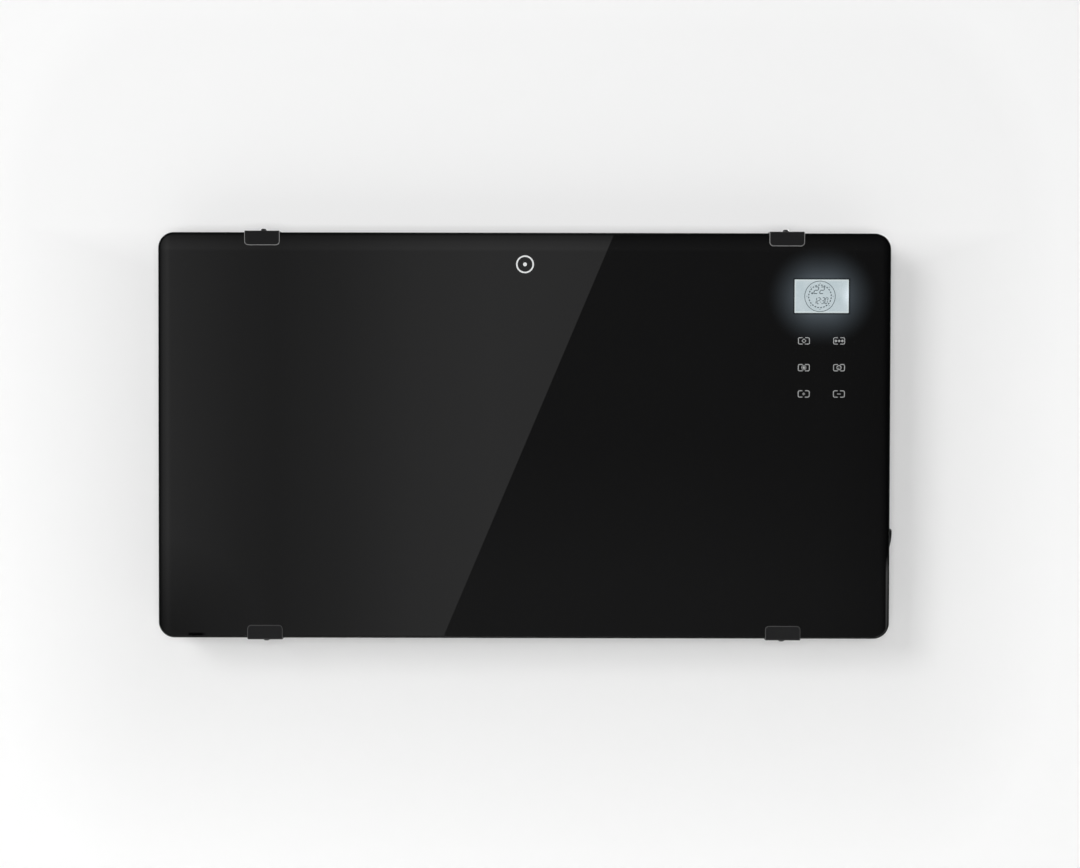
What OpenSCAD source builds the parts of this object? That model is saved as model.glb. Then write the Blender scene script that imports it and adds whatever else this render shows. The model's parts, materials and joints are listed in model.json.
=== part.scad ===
// Wall-hung convector heater with a glass front.
// Millimetres, +Z up, +X to the right as the front is faced, +Y towards the wall.
// The origin is the middle of the wall rail's screw holes, on the wall's own plane.

/* [Glass front] */
// Width of the glass panel
glass_w = 830; // [760:1:960]
// Height of the glass panel
glass_h = 460; // [440:1:560]
// Thickness of the glass
glass_t = 5; // [4:0.5:6]
// Radius of the glass corners
glass_corner_r = 18; // [14:1:24]
// Width of the ground edge round both faces of the glass
glass_chamfer = 1.2; // [0.4:0.1:1.8]
// Thickness of the black print on the back of the glass
print_t = 0.3; // [0.2:0.05:0.5]
// Thickness of the foam tapes between glass and casing
tape_t = 3; // [2:0.25:5]
// Width of the foam tapes
tape_w = 12; // [8:1:14]
// Distance from the edge of the glass to the foam tapes
tape_inset = 18; // [14:1:20]

/* [Casing] */
// Depth of the casing from its back to its front plate
case_depth = 62; // [58:1:76]
// Gap between the casing and the wall
back_gap = 20; // [16:1:30]
// Inset of the casing from the glass edge at each side
case_inset = 2; // [1:0.5:8]
// Thickness of the casing sheet
sheet_t = 0.8; // [0.6:0.1:1.2]
// Outer radius of the bends at the casing's back
bend_r = 4; // [3:0.5:7]
// Outer radius of the bends in the front plate and the brackets
small_bend_r = 2.5; // [2:0.25:3.5]
// Depth of the front plate's turned edges
plate_return = 14; // [12:0.5:16]
// Thickness of the side caps' outer wall
cap_wall = 3; // [2.5:0.25:5]
// Radius of the casing's corners as seen from the front, and the depth of the side caps
cap_corner_r = 16; // [12:0.5:18]
// Reach of the side caps' rim into the casing
cap_rim = 4; // [3:0.5:5]
// Thickness of the side caps' rim
cap_rim_t = 2; // [1.5:0.1:3]
// Thickness of the side caps' ribs
cap_rib_t = 1.6; // [1:0.1:2.5]
// Spacing of the side caps' ribs
cap_rib_pitch = 48; // [35:1:70]
// Clearance between pieces that slip into one another
fit_gap = 0.2; // [0.1:0.05:0.3]

/* [Wall rail] */
// Height of the glass's top edge above the rail's screw line
rail_drop = 90; // [80:1:120]
// Length of the rail
rail_w = 440; // [400:1:500]
// Height of the rail
rail_h = 40; // [36:1:50]
// Thickness of the rail's sheet
rail_t = 2; // [1.5:0.25:3]
// Distance between the rail's screw holes along the rail
rail_hole_w = 400; // [380:1:410]
// Distance between the rail's screw holes across the rail
rail_hole_h = 22; // [16:1:26]
// Radius of the rail's screw holes
rail_hole_r = 2.75; // [2.25:0.25:3.5]
// Distance of each hook arm from the middle of the rail
hook_x = 150; // [120:1:160]
// Width of the hook arms
hook_w = 40; // [30:1:46]
// Height of the turned-up lips on the hook arms
hook_lip = 11; // [8:0.5:12]
// Clearance between the lips and the casing's back sheet
hook_gap = 0.8; // [0.5:0.1:1.5]
// Clearance between the arms and the casing that hangs on them
hook_seat_gap = 0.3; // [0.1:0.05:0.4]
// Height that the heater is lifted by to come off its hooks
lift_travel = 12; // [10:0.5:14]

/* [Wall spacers] */
// Distance of each spacer from the side edge of the glass
spacer_inset = 165; // [115:1:265]
// Height of the spacers above the casing's bottom
spacer_rise = 40; // [30:1:80]
// Radius of the spacers at the casing
spacer_r = 12; // [9:0.5:16]
// Radius of the spacers at their rubber tip
spacer_tip_r = 9; // [6:0.5:11]
// Thickness of the rubber tips
spacer_tip_t = 3; // [2:0.25:5]
// Clearance between the rubber tips and the wall
wall_gap = 0.3; // [0.1:0.05:0.5]

/* [Glass clips] */
// Distance of the upper clips from the side edges of the glass
clip_top_inset = 118; // [115:1:130]
// Distance of the lower clips from the side edges of the glass
clip_bottom_inset = 121; // [115:1:130]
// Width of the clips
clip_w = 40; // [30:1:44]
// Height of the clips' front tab
clip_tab = 16.5; // [12:0.5:22]
// Thickness of the clips
clip_t = 1.5; // [1:0.1:2]
// Radius of the free corners of the front tab
clip_corner_r = 4.5; // [2:0.5:6]
// Outer radius of the clips' bend
clip_bend_r = 2.4; // [2.1:0.1:3]
// Clearance between the clips' leg and the glass's edge
clip_gap = 0.3; // [0.2:0.05:0.6]
// Thickness of the pads between clip and glass
pad_t = 0.8; // [0.5:0.1:1.5]
// Distance from the front plate's face to the clip screws
clip_screw_in = 9; // [8:0.5:10]

/* [Outlet grille] */
// Distance from the casing's front face to the outlet
outlet_front = 24; // [21.5:0.5:28]
// Distance from the casing's back face to the outlet
outlet_back = 7; // [6:0.5:10]
// Distance from the outlet's ends to the ends of the heated bay
outlet_end = 20; // [10:1:40]
// Wall of the grille's frame
grille_wall = 1.4; // [1:0.1:2]
// Width of the grille's rim round the outlet
grille_rim = 3; // [2:0.25:3]
// Thickness of the grille's rim
grille_rim_t = 1; // [0.8:0.1:1.4]
// Radius that the louvre blades are curved to
blade_r = 14; // [10:0.5:20]
// Angle that the louvre blades are curved through
blade_angle = 40; // [30:1:42]
// Thickness of the louvre blades
blade_t = 1.4; // [1:0.1:1.6]
// Wished spacing of the louvre blades
blade_pitch = 5; // [4.5:0.1:6]
// Wished spacing of the ribs across the blades
grille_rib_pitch = 58; // [40:1:80]
// Thickness of the ribs across the blades
grille_rib_t = 2; // [1.2:0.1:3]

/* [Air slots] */
// Length of the air slots
slot_l = 32; // [20:1:36]
// Width of the air slots
slot_w = 3.5; // [2.5:0.1:3.8]
// Spacing of the air slots along the casing
slot_pitch = 42; // [38:1:60]
// Distance of the two bottom rows from the middle of the casing's depth
slot_row = 9; // [8:0.5:12]
// Height of the rear row above the casing's bottom
rear_slot_rise = 14; // [12:0.5:16]

/* [Heating element] */
// Distance from the casing's right end to the sheet that closes the heated bay
bay_inset = 125; // [118:1:130]
// Distance from the casing's left end to the left element bracket
left_inset = 65; // [58:1:90]
// Distance between the right element bracket and the bay's end
right_inset = 27; // [26:1:40]
// Height of the element above the casing's bottom
element_rise = 70; // [62:1:100]
// Radius of the element's sheath
tube_r = 5; // [4:0.25:6]
// Wall of the hub round the sheath
hub_wall = 3; // [2:0.25:4]
// Length of the fins' four arms from the middle
arm_l = 33; // [26:0.5:34]
// Thickness of the fins' arms
arm_t = 2; // [1.5:0.1:3]
// Angle of the arms above and below the level
arm_angle = 60; // [58:1:75]
// Length of the riblets on each arm
riblet_l = 6; // [4:0.5:7]
// Thickness of the riblets
riblet_t = 1.2; // [0.8:0.1:1.6]
// Spacing of the riblets along an arm
riblet_pitch = 5.5; // [4.5:0.25:7]
// Thickness of the element brackets
bracket_t = 1.5; // [1:0.1:2]
// Height of the element brackets
bracket_h = 76; // [60:1:90]
// Width of the brackets' foot
bracket_foot = 11; // [8:0.5:12]
// Radius of the bushes in the bracket holes
bush_r = 9; // [8:0.25:11]
// Radius of the bushes' collars
bush_collar_r = 12; // [11.5:0.25:14]
// Length of each bush collar
bush_collar_l = 3.5; // [2:0.25:5]
// Thickness of the heat shields
shield_t = 0.8; // [0.5:0.1:1.2]
// Gap between the heat shields and the casing's sheets
shield_gap = 8.8; // [7:0.2:9]
// Height of the heat shields
shield_h = 240; // [200:1:250]
// Height of the heat shields above the casing's bottom
shield_rise = 20; // [19:0.5:24]

/* [Display] */
// Distance of the display's middle from the right edge of the glass
display_inset = 78.2; // [77:0.2:81]
// Depth of the liquid crystal display below the top edge of the glass
lcd_drop = 71; // [68:0.5:73]
// Width of the display window
window_w = 61.4; // [54:0.2:64]
// Height of the display window
window_h = 37.9; // [32:0.1:39]
// Width of the display's own border round the window
lcd_border = 3; // [2:0.25:4]
// Thickness of the seal round the window
gasket_t = 0.8; // [0.5:0.1:1.2]
// Thickness of the display glass
lcd_t = 2.6; // [2:0.1:3.2]
// Thickness of the backlight
backlight_t = 2.6; // [2:0.1:4]
// Distance between the two columns of touch keys
key_col = 39.8; // [34:0.2:44]
// Depth of the upper row of touch keys below the top edge of the glass
key_drop = 123.2; // [120:0.2:126]
// Distance between the rows of touch keys
key_row = 30; // [24:0.5:31]
// Radius of the touch pads
pad_r = 5; // [4:0.25:7]
// Width of the touch board
touch_board_w = 78; // [74:1:80]
// Height of the touch board
touch_board_h = 146; // [144:1:150]
// Depth of the touch board's middle below the top edge of the glass
touch_board_drop = 121; // [120:0.5:123]
// Thickness of the circuit boards
board_t = 1.6; // [1:0.1:2]
// Wall of the moulded housings
housing_wall = 2; // [1.5:0.1:2.5]
// Depth of the display housing behind the front plate
housing_depth = 14; // [13:0.5:18]
// Width of the display housing's flange
housing_flange = 4; // [3:0.25:5]
// Thickness of the display housing's flange
housing_flange_t = 1.2; // [0.8:0.1:1.6]

/* [Power board] */
// Width of the power board
power_board_w = 92; // [88:1:92]
// Height of the power board
power_board_h = 180; // [170:1:186]
// Depth of the power board's middle below the top edge of the glass
power_board_drop = 270; // [268:1:274]
// Depth of the tray under the power board
tray_depth = 7; // [5:0.25:9]
// Radius of the tray's posts
post_r = 3; // [2.5:0.1:4]
// Length of a relay
relay_l = 20; // [18:0.5:24]
// Width of a relay
relay_w = 15.5; // [12:0.5:17]
// Height of a relay above the board
relay_h = 16; // [14:0.5:19]
// Width of the transformer's core
transformer_w = 34; // [28:1:38]
// Height of the transformer's core above the board
transformer_h = 24; // [20:1:28]
// Radius of the capacitors
capacitor_r = 5; // [4:0.25:6]
// Height of the capacitors
capacitor_h = 16; // [12:1:24]
// Height of the plug connectors above the board
connector_h = 12; // [11:0.5:14]
// Height of the element's connector above the board
tall_connector_h = 24; // [22:0.5:27]
// Radius of the mains wires
wire_r = 1.2; // [0.9:0.05:1.4]
// Radius of the wires' bends
wire_bend_r = 8; // [6:0.5:10]

/* [Power switch] */
// Depth of the power switch below the top edge of the glass
switch_drop = 347; // [342:1:350]
// Distance of the power switch from the casing's front face
switch_in = 16; // [15:0.5:18]
// Length of the switch's flange
switch_l = 31; // [28:0.5:33]
// Width of the switch's flange
switch_w = 25.5; // [23:0.5:27]
// Thickness of the switch's flange
switch_flange_t = 2; // [1.5:0.1:2.5]
// Distance from the switch's flange edge to its body
switch_step = 1.6; // [1.2:0.1:2]
// Depth of the switch's body behind the flange
switch_depth = 24; // [22:0.5:26]
// Wall of the switch's body
switch_wall = 1; // [0.8:0.1:1.4]
// Clearance between the rocker and the switch's body
rocker_gap = 0.4; // [0.3:0.05:0.5]
// Angle that the rocker tilts through to either side
rocker_tilt = 8; // [6:1:12]
// Rise of the rocker's face over its pivot
rocker_rise = 6; // [5:0.1:6.5]
// Radius that the rocker's face is curved to
rocker_face_r = 60; // [45:1:80]
// Radius of the rocker's pivots
rocker_pin_r = 1.5; // [1.2:0.1:2]

/* [Tip switch] */
// Distance of the tip switch from the casing's right end
tip_inset = 45; // [42:0.5:46]
// Width of the tip switch's case
tip_w = 30; // [28:1:32]
// Depth of the tip switch's case
tip_d = 42; // [40:1:46]
// Height of the tip switch's case
tip_h = 50; // [46:1:56]
// Radius of the pendulum's pin
tip_pin_r = 1.5; // [1:0.1:2]
// Distance from the top of the case to the pin
tip_pin_drop = 12; // [10:0.5:14]
// Length of the pendulum from its pin to its weight
pendulum_l = 20; // [16:0.5:21]
// Radius of the pendulum's weight
weight_r = 7; // [5:0.25:7.5]
// Length of the pendulum's weight
weight_l = 14; // [10:0.5:16]
// Radial clearance of the pendulum on its pin
pin_gap = 0.06; // [0.03:0.01:0.1]

/* [Feet and cord] */
// Distance of each foot's middle from the side edge of the glass
foot_inset = 95; // [89:1:103]
// Distance between the two screw holes of a foot
foot_pitch = 40; // [30:1:40]
// Radius of the foot screw holes
foot_hole_r = 2.1; // [1.6:0.1:2.6]
// Distance of the cord gland from the casing's left end
gland_inset = 36; // [30:0.5:40]
// Radius of the bore that the cord leaves through
gland_bore_r = 3.6; // [3:0.1:4.5]
// Wall of the gland round its bore
gland_wall = 2.8; // [2:0.1:3]
// Width of the gland's collars
gland_collar = 2.4; // [1.5:0.1:3]
// Height of the gland's collars
gland_collar_h = 2.4; // [1.5:0.1:2.5]

/* [Screws] */
// Radius of the clip screws' heads
clip_head_r = 3.9; // [3.2:0.1:4.5]
// Height of the clip screws' heads
clip_head_h = 3.1; // [2:0.1:3.5]
// Radius of the clip screws' shanks
clip_shank_r = 1.9; // [1.5:0.1:2.2]
// Length of the clip screws under their heads
clip_screw_l = 10; // [7:0.5:14]
// Radius of the small screws' heads
small_head_r = 2.8; // [2.4:0.1:3.4]
// Height of the small screws' heads
small_head_h = 2; // [1.5:0.1:2.4]
// Radius of the small screws' shanks
small_shank_r = 1.4; // [1.2:0.05:1.6]
// Length of the cap screws under their heads
cap_screw_l = 9; // [7:0.5:9.5]
// Height of the cap screws below and above the casing's ends
cap_screw_in = 40; // [30:1:60]
// Clearance round a screw in its hole
screw_gap = 0.15; // [0.05:0.05:0.3]

/* [Hidden] */
$fn = 48;
eps = 0.5;

// Planes of the casing and the glass, from the wall forwards
y_back = -back_gap;
y_front = y_back - case_depth;
y_mid = (y_back + y_front) / 2;
y_inner_back = y_back - sheet_t;
y_inner_front = y_front + sheet_t;
y_print_back = y_front - tape_t;
y_glass_back = y_print_back - print_t;
y_glass_front = y_glass_back - glass_t;
y_clip_back = y_glass_front - pad_t;
y_clip_front = y_clip_back - clip_t;

// Heights of the glass and the casing
z_top = rail_drop;
z_bottom = z_top - glass_h;
z_mid = (z_top + z_bottom) / 2;
case_top = z_top + clip_gap;
case_bottom = z_bottom - clip_gap;
case_h = case_top - case_bottom;
floor_z = case_bottom + sheet_t;
sheets_in = 2 * (sheet_t + fit_gap);

// Ends of the casing and the bays inside it
shell_x = glass_w / 2 - case_inset - cap_wall;
cap_x = shell_x + cap_wall;
sheet_x = cap_x - cap_corner_r;
bay_x = shell_x - bay_inset;
bracket_left_x = -shell_x + left_inset;
bracket_right_x = bay_x - right_inset;

// Outlet in the casing's top
outlet_x0 = -sheet_x + cap_rim + outlet_end;
outlet_x1 = bay_x - outlet_end;
outlet_y0 = y_front + outlet_front;
outlet_y1 = y_back - outlet_back;
blade_rise = blade_r * sin(blade_angle);
grille_low = case_top - blade_rise;
grille_inner_y0 = outlet_y0 + fit_gap + grille_wall;
grille_inner_y1 = outlet_y1 - fit_gap - grille_wall;
blade_count = floor((grille_inner_y1 - grille_inner_y0) / blade_pitch);
blade_step = (grille_inner_y1 - grille_inner_y0) / (blade_count + 1);
grille_rib_count = floor((outlet_x1 - outlet_x0) / grille_rib_pitch);
grille_rib_step = (outlet_x1 - outlet_x0) / (grille_rib_count + 1);

// Feet and air slots
foot_x = glass_w / 2 - foot_inset;
slot_margin = 10;
slots_x0 = -foot_x + foot_pitch / 2 + foot_hole_r + slot_l / 2 + slot_margin;
slots_x1 = bay_x - slot_l / 2 - slot_margin;
slot_count = floor((slots_x1 - slots_x0) / slot_pitch) + 1;
slot_step = (slots_x1 - slots_x0) / (slot_count - 1);

// Hooks and the slots that they reach through
hook_under = -rail_h / 2;
hook_over = hook_under + rail_t;
hook_reach = -y_inner_back + hook_gap + rail_t;
hook_slot_w = hook_w + 6;
hook_slot_top = hook_over + hook_seat_gap;
hook_slot_bottom = hook_under - lift_travel - 1;
hook_slot_r = 2;
rail_corner_r = 4;
rail_bend_r = rail_t + 1;

// Element, shields and what they stand on
tube_gap = fit_gap / 4;
arm_bead_r = 0.8 * arm_t;
shield_bend_r = shield_t + 1;
cold_end = 14;
element_z = case_bottom + element_rise;
fins_x0 = bracket_left_x + bracket_foot + 1;
fins_x1 = bracket_right_x - bracket_foot - 1;
tube_x0 = bracket_left_x - cold_end;
tube_x1 = bay_x + 6;
stud_l = 8;
stud_z = tube_r / 2;
shield_x0 = bracket_left_x + bracket_foot + 2;
shield_x1 = bracket_right_x - bracket_foot - 2;
shield_z = case_bottom + shield_rise + shield_h / 2;
y_rear_shield = y_inner_back - shield_gap - shield_t;
y_front_shield = y_inner_front + shield_gap + shield_t;

// Thermal cutout on the rear shield
cutout_l = 34;
cutout_w = 12;
cutout_r = 8;
cutout_h = 9;
cutout_tab = 8;

// Display housing and what it holds
display_x = glass_w / 2 - display_inset;
display_z = z_top - lcd_drop;
housing_z = z_top - touch_board_drop;
housing_w = touch_board_w + 2 * (housing_wall + fit_gap);
housing_h = touch_board_h + 2 * (housing_wall + fit_gap);
y_housing_back = y_front + housing_depth;
y_lcd_front = y_print_back + gasket_t;
y_backlight_front = y_lcd_front + lcd_t;
y_touch_front = y_backlight_front + backlight_t;
y_touch_back = y_touch_front + board_t;
lcd_w = window_w + 2 * lcd_border;
lcd_h = window_h + 2 * lcd_border;
window_r = 0.5;
housing_r = 3.5;

// Power board and what it carries
power_x = (bay_x + sheet_x) / 2;
power_z = z_top - power_board_drop;
tray_w = power_board_w + 2 * (housing_wall + fit_gap);
tray_h = power_board_h + 2 * (housing_wall + fit_gap);
y_tray_front = y_inner_back - housing_wall - tray_depth;
y_power_back = y_inner_back - housing_wall - tray_depth - 1;
y_power_front = y_power_back - board_t;
post_in = 7;
connector_z0 = power_z - power_board_h / 2 + 2 * post_in;
connector_d = 12;
element_plug_rise = 26;
ribbon_z = power_z + power_board_h / 2 - 8;
ribbon_w = 16;
ribbon_t = 0.8;
header_h = 8;
header_d = 6;
plug_w = 18;
small_plug_w = 8;
board_screw_l = 7;
relay_u = -24;
relay_v = -48;
transformer_u = 22;
transformer_v = 30;
capacitor_u = -26;
capacitor_v = 10;

// Where the wires run
wire_floor = case_bottom + 9;
mains_wire_x = power_x - 36;
sensor_x = power_x - 22;
element_wire_x = power_x + 2;
y_wire = y_power_front - connector_h / 2;
wire_step = 3;

// Room sensor in the casing's bottom
sensor_r = 3;
sensor_drop = 4;
sensor_h = 5;

// Power switch
y_switch = y_front + switch_in;
z_switch = z_top - switch_drop;
switch_body_l = switch_l - 2 * switch_step;
switch_body_w = switch_w - 2 * switch_step;
rocker_r = switch_body_l / 2 - switch_wall - rocker_gap;
rocker_w = switch_body_w - 2 * (switch_wall + rocker_gap);
rocker_skirt = 5;
switch_cavity = rocker_r + 1.5;
switch_corner_r = 1.5;
tab_l = 10;
tab_w = 6.2;
tab_t = 0.8;
tab_z = 7;
switch_tab_x = cap_x - switch_depth - tab_l;
switch_wire_x = switch_tab_x - wire_bend_r - 2;

// Tip switch
tip_x = shell_x - tip_inset;
y_tip = y_front + plate_return + 1 + tip_d / 2;
tip_top = floor_z + tip_h;
tip_pin_z = tip_top - tip_pin_drop;
tip_wall = 2;
hub_r = 4;
hub_l = 10;
microswitch_w = 6;
microswitch_l = 20;

// Places of the screws
clip_screw_y = y_front + clip_screw_in;
boss_w = 9;
boss_d = 10;
boss_reach = 8;
cap_screw_x = sheet_x - boss_reach / 2;
cap_rib_d = 7;

// Terminal block at the foot of the left bay
block_x0 = -sheet_x + boss_reach + 2;
block_w = 30;
block_h = 22;
block_d = 20;
block_bore_r = 2.4;
block_z0 = wire_floor + 18;

// Extrusions of a flat outline along each axis, between two places on it
module along_x(x0, x1) {
    translate([x0, 0, 0])
        rotate([90, 0, 90])
            linear_extrude(x1 - x0)
                children();
}

module along_y(y0, y1) {
    translate([0, y1, 0])
        rotate([90, 0, 0])
            linear_extrude(y1 - y0)
                children();
}

module along_z(z0, z1) {
    translate([0, 0, z0])
        linear_extrude(z1 - z0)
            children();
}

// Round bar from y0 to y1 at one place in the front view
module bar_y(x, z, r, y0, y1) {
    translate([x, y1, z])
        rotate([90, 0, 0])
            cylinder(h = y1 - y0, r = r);
}

// Block given by the ranges that it fills
module block(x0, x1, y0, y1, z0, z1) {
    translate([x0, y0, z0])
        cube([x1 - x0, y1 - y0, z1 - z0]);
}

module rounded_rect(w, h, r) {
    square([w - 2 * r, h], center = true);
    square([w, h - 2 * r], center = true);
    for (x = [-1, 1], y = [-1, 1])
        translate([x * (w / 2 - r), y * (h / 2 - r)])
            circle(r);
}

module slot_shape(l, w) {
    square([l - w, w], center = true);
    for (x = [-1, 1])
        translate([x * (l - w) / 2, 0])
            circle(w / 2);
}

// Rectangle from the origin with only its corner at the origin rounded
module corner_rect(a, b, r) {
    translate([r, 0])
        square([a - r, b]);
    translate([0, r])
        square([a, b - r]);
    translate([r, r])
        circle(r);
}

// Folded sheet of two legs, its outer corner at the origin
module angle_profile(a, b, t, r) {
    difference() {
        corner_rect(a, b, r);
        translate([t, t])
            corner_rect(a, b, r - t);
    }
}

// Folded sheet of three legs: the web stands at u = 0, and both legs run to +u
module channel_profile(web, leg, t, r) {
    for (s = [-1, 1])
        scale([1, s])
            translate([0, -web / 2])
                angle_profile(leg, web / 2, t, r);
}

// Screw with a domed head on the plane z = 0, its shank going down
module pan_screw(head_r, head_h, shank_r, l) {
    crown = 0.55 * head_h;
    dome_r = (head_r * head_r + crown * crown) / (2 * crown);
    rotate_extrude() {
        translate([0, -l])
            square([shank_r, l]);
        intersection() {
            translate([0, head_h - dome_r])
                circle(dome_r, $fn = 120);
            square([head_r, head_h]);
        }
    }
}

// Wire that runs along +X to a, turns in a quarter bend and rises to b
module angle_wire(a, b, r) {
    rotate([0, 90, 0])
        cylinder(h = a - wire_bend_r, r = r);
    translate([a - wire_bend_r, 0, wire_bend_r])
        rotate([90, 0, 0])
            rotate([0, 0, -90])
                rotate_extrude(angle = 90)
                    translate([wire_bend_r, 0])
                        circle(r);
    translate([a, 0, wire_bend_r])
        cylinder(h = b - wire_bend_r, r = r);
}

// The four places of the glass clips: side, and whether at the bottom
module at_clip(side, bottom) {
    x = side * (glass_w / 2 - (bottom ? clip_bottom_inset : clip_top_inset));
    translate([x, 0, bottom ? 2 * z_mid : 0])
        mirror([0, 0, bottom ? 1 : 0])
            children();
}

module at_clips() {
    for (side = [-1, 1], bottom = [false, true])
        at_clip(side, bottom)
            children();
}

module at_cap_screws() {
    for (side = [-1, 1], z = [case_top - cap_screw_in, case_bottom + cap_screw_in])
        translate([side * cap_screw_x, y_back, z])
            children();
}

module hook_arm(side) {
    translate([side * hook_x, 0, 0])
        along_x(-hook_w / 2, hook_w / 2)
            difference() {
                translate([-hook_reach / 2, hook_under])
                    rotate(90)
                        channel_profile(hook_reach, rail_h, rail_t, rail_bend_r);
                translate([-hook_reach - eps, hook_under + hook_lip])
                    square([hook_reach - rail_t, rail_h]);
            }
}

module wall_rail() {
    color("gainsboro") {
        difference() {
            along_y(-rail_t, 0)
                rounded_rect(rail_w, rail_h, rail_corner_r);
            for (side = [-1, 1]) {
                block(side * hook_x - hook_w / 2, side * hook_x + hook_w / 2, -rail_t - eps, eps,
                    hook_under - eps, hook_under + rail_bend_r + 1);
                for (up = [-1, 1])
                    bar_y(side * rail_hole_w / 2, up * rail_hole_h / 2, rail_hole_r, -rail_t - eps, eps);
            }
        }
        for (side = [-1, 1])
            hook_arm(side);
    }
}

module air_slots() {
    for (i = [0 : slot_count - 1])
        translate([slots_x0 + i * slot_step, 0])
            slot_shape(slot_l, slot_w);
}

module foot_holes() {
    for (side = [-1, 1], s = [-1, 1])
        translate([side * foot_x + s * foot_pitch / 2, y_mid, case_bottom - eps])
            cylinder(h = sheet_t + 2 * eps, r = foot_hole_r);
}

module shell_sheet() {
    along_x(-sheet_x, sheet_x)
        translate([y_back, z_mid])
            mirror([1, 0])
                channel_profile(case_h, case_depth, sheet_t, bend_r);
}

module rear_shell() {
    color([0.16, 0.16, 0.17])
        difference() {
            shell_sheet();
            block(outlet_x0, outlet_x1, outlet_y0, outlet_y1, case_top - sheet_t - eps, case_top + eps);
            for (row = [-1, 1])
                translate([0, y_mid + row * slot_row, 0])
                    along_z(case_bottom - eps, floor_z + eps)
                        air_slots();
            along_y(y_inner_back - eps, y_back + eps)
                translate([0, case_bottom + rear_slot_rise])
                    air_slots();
            for (side = [-1, 1])
                along_y(y_inner_back - eps, y_back + eps)
                    translate([side * hook_x, (hook_slot_top + hook_slot_bottom) / 2])
                        rounded_rect(hook_slot_w, hook_slot_top - hook_slot_bottom, hook_slot_r);
            at_clips()
                translate([0, clip_screw_y, case_top - sheet_t - eps])
                    cylinder(h = sheet_t + 2 * eps, r = clip_shank_r + screw_gap);
            at_cap_screws()
                bar_y(0, 0, small_shank_r + screw_gap, -sheet_t - eps, eps);
            foot_holes();
            translate([-shell_x + gland_inset, y_mid, case_bottom - eps])
                cylinder(h = sheet_t + 2 * eps, r = gland_bore_r + gland_wall + fit_gap);
            translate([sensor_x, y_wire, case_bottom - eps])
                cylinder(h = sheet_t + 2 * eps, r = sensor_r + fit_gap);
        }
}

module front_plate() {
    color([0.2, 0.2, 0.21])
        difference() {
            along_x(-sheet_x + fit_gap, sheet_x - fit_gap)
                translate([y_front, z_mid])
                    channel_profile(case_h - sheets_in, plate_return, sheet_t, small_bend_r);
            along_y(y_front - eps, y_inner_front + eps)
                translate([display_x, housing_z])
                    rounded_rect(housing_w + 2 * fit_gap, housing_h + 2 * fit_gap, housing_r + fit_gap);
            at_clips()
                translate([0, clip_screw_y, case_top - 2 * sheet_t - fit_gap - eps])
                    cylinder(h = sheet_t + 2 * eps, r = clip_shank_r + screw_gap);
        }
}

// Half section of the casing from the wall forwards, its outer edges rounded as the sheets' bends are
module cap_profile() {
    translate([0, back_gap])
        square([cap_corner_r - bend_r, case_depth]);
    translate([0, back_gap + bend_r])
        square([cap_corner_r - small_bend_r, case_depth - bend_r]);
    translate([0, back_gap + bend_r])
        square([cap_corner_r, case_depth - bend_r - small_bend_r]);
    translate([cap_corner_r - bend_r, back_gap + bend_r])
        circle(bend_r);
    translate([cap_corner_r - small_bend_r, back_gap + case_depth - small_bend_r])
        circle(small_bend_r);
}

// Moulded end cap, drawn for the right end: a hollow tray with rounded upper and lower corners
module cap_skin() {
    inner_r = cap_corner_r - cap_wall;
    difference() {
        union() {
            for (m = [0, 1])
                translate([sheet_x, 0, z_mid])
                    mirror([0, 0, m])
                        translate([0, 0, case_h / 2 - cap_corner_r])
                            rotate([90, 0, 0])
                                rotate_extrude(angle = 90)
                                    cap_profile();
            along_z(case_bottom + cap_corner_r, case_top - cap_corner_r)
                translate([sheet_x, 0])
                    mirror([0, 1])
                        cap_profile();
        }
        along_y(y_front + cap_wall, y_back - cap_wall)
            translate([sheet_x - 1, z_mid])
                rounded_rect(2 * (inner_r + 1), case_h - 2 * cap_wall, inner_r);
    }
}

module rim_outline(inset) {
    translate([y_mid, z_mid])
        rounded_rect(case_depth - 2 * (sheet_t + fit_gap + inset), case_h - 2 * (sheets_in + inset),
            small_bend_r - inset / 2);
}

module cap_rim_ring() {
    along_x(sheet_x - cap_rim, sheet_x + eps)
        difference() {
            rim_outline(0);
            rim_outline(cap_rim_t);
        }
}

module cap_ribs(skip_switch) {
    count = floor((case_h / 2 - cap_corner_r) / cap_rib_pitch);
    for (i = [-count : count]) {
        z = z_mid + i * cap_rib_pitch;
        if (!skip_switch || abs(z - z_switch) > switch_l / 2 + cap_rib_t)
            block(shell_x - cap_rib_d, shell_x + eps, y_front + cap_wall - eps, y_back - cap_wall + eps,
                z - cap_rib_t / 2, z + cap_rib_t / 2);
    }
}

module cap_bosses() {
    for (z = [case_top - cap_screw_in, case_bottom + cap_screw_in])
        block(sheet_x - boss_reach, shell_x + eps, y_inner_back - fit_gap - boss_d,
            y_inner_back - fit_gap, z - boss_w / 2, z + boss_w / 2);
}

module cap_bores() {
    for (z = [case_top - cap_screw_in, case_bottom + cap_screw_in])
        bar_y(cap_screw_x, z, small_shank_r + screw_gap, y_back - cap_screw_l - 1, y_back);
}

module side_cap_left() {
    color([0.13, 0.13, 0.14])
        mirror([1, 0, 0])
            difference() {
                union() {
                    cap_skin();
                    cap_rim_ring();
                    cap_ribs(false);
                    cap_bosses();
                }
                cap_bores();
            }
}

module side_cap_right() {
    color([0.13, 0.13, 0.14])
        difference() {
            union() {
                cap_skin();
                cap_rim_ring();
                cap_ribs(true);
                cap_bosses();
            }
            cap_bores();
            along_x(shell_x - eps, cap_x + eps)
                translate([y_switch, z_switch])
                    square([switch_body_w + 2 * fit_gap, switch_body_l + 2 * fit_gap], center = true);
        }
}

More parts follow.
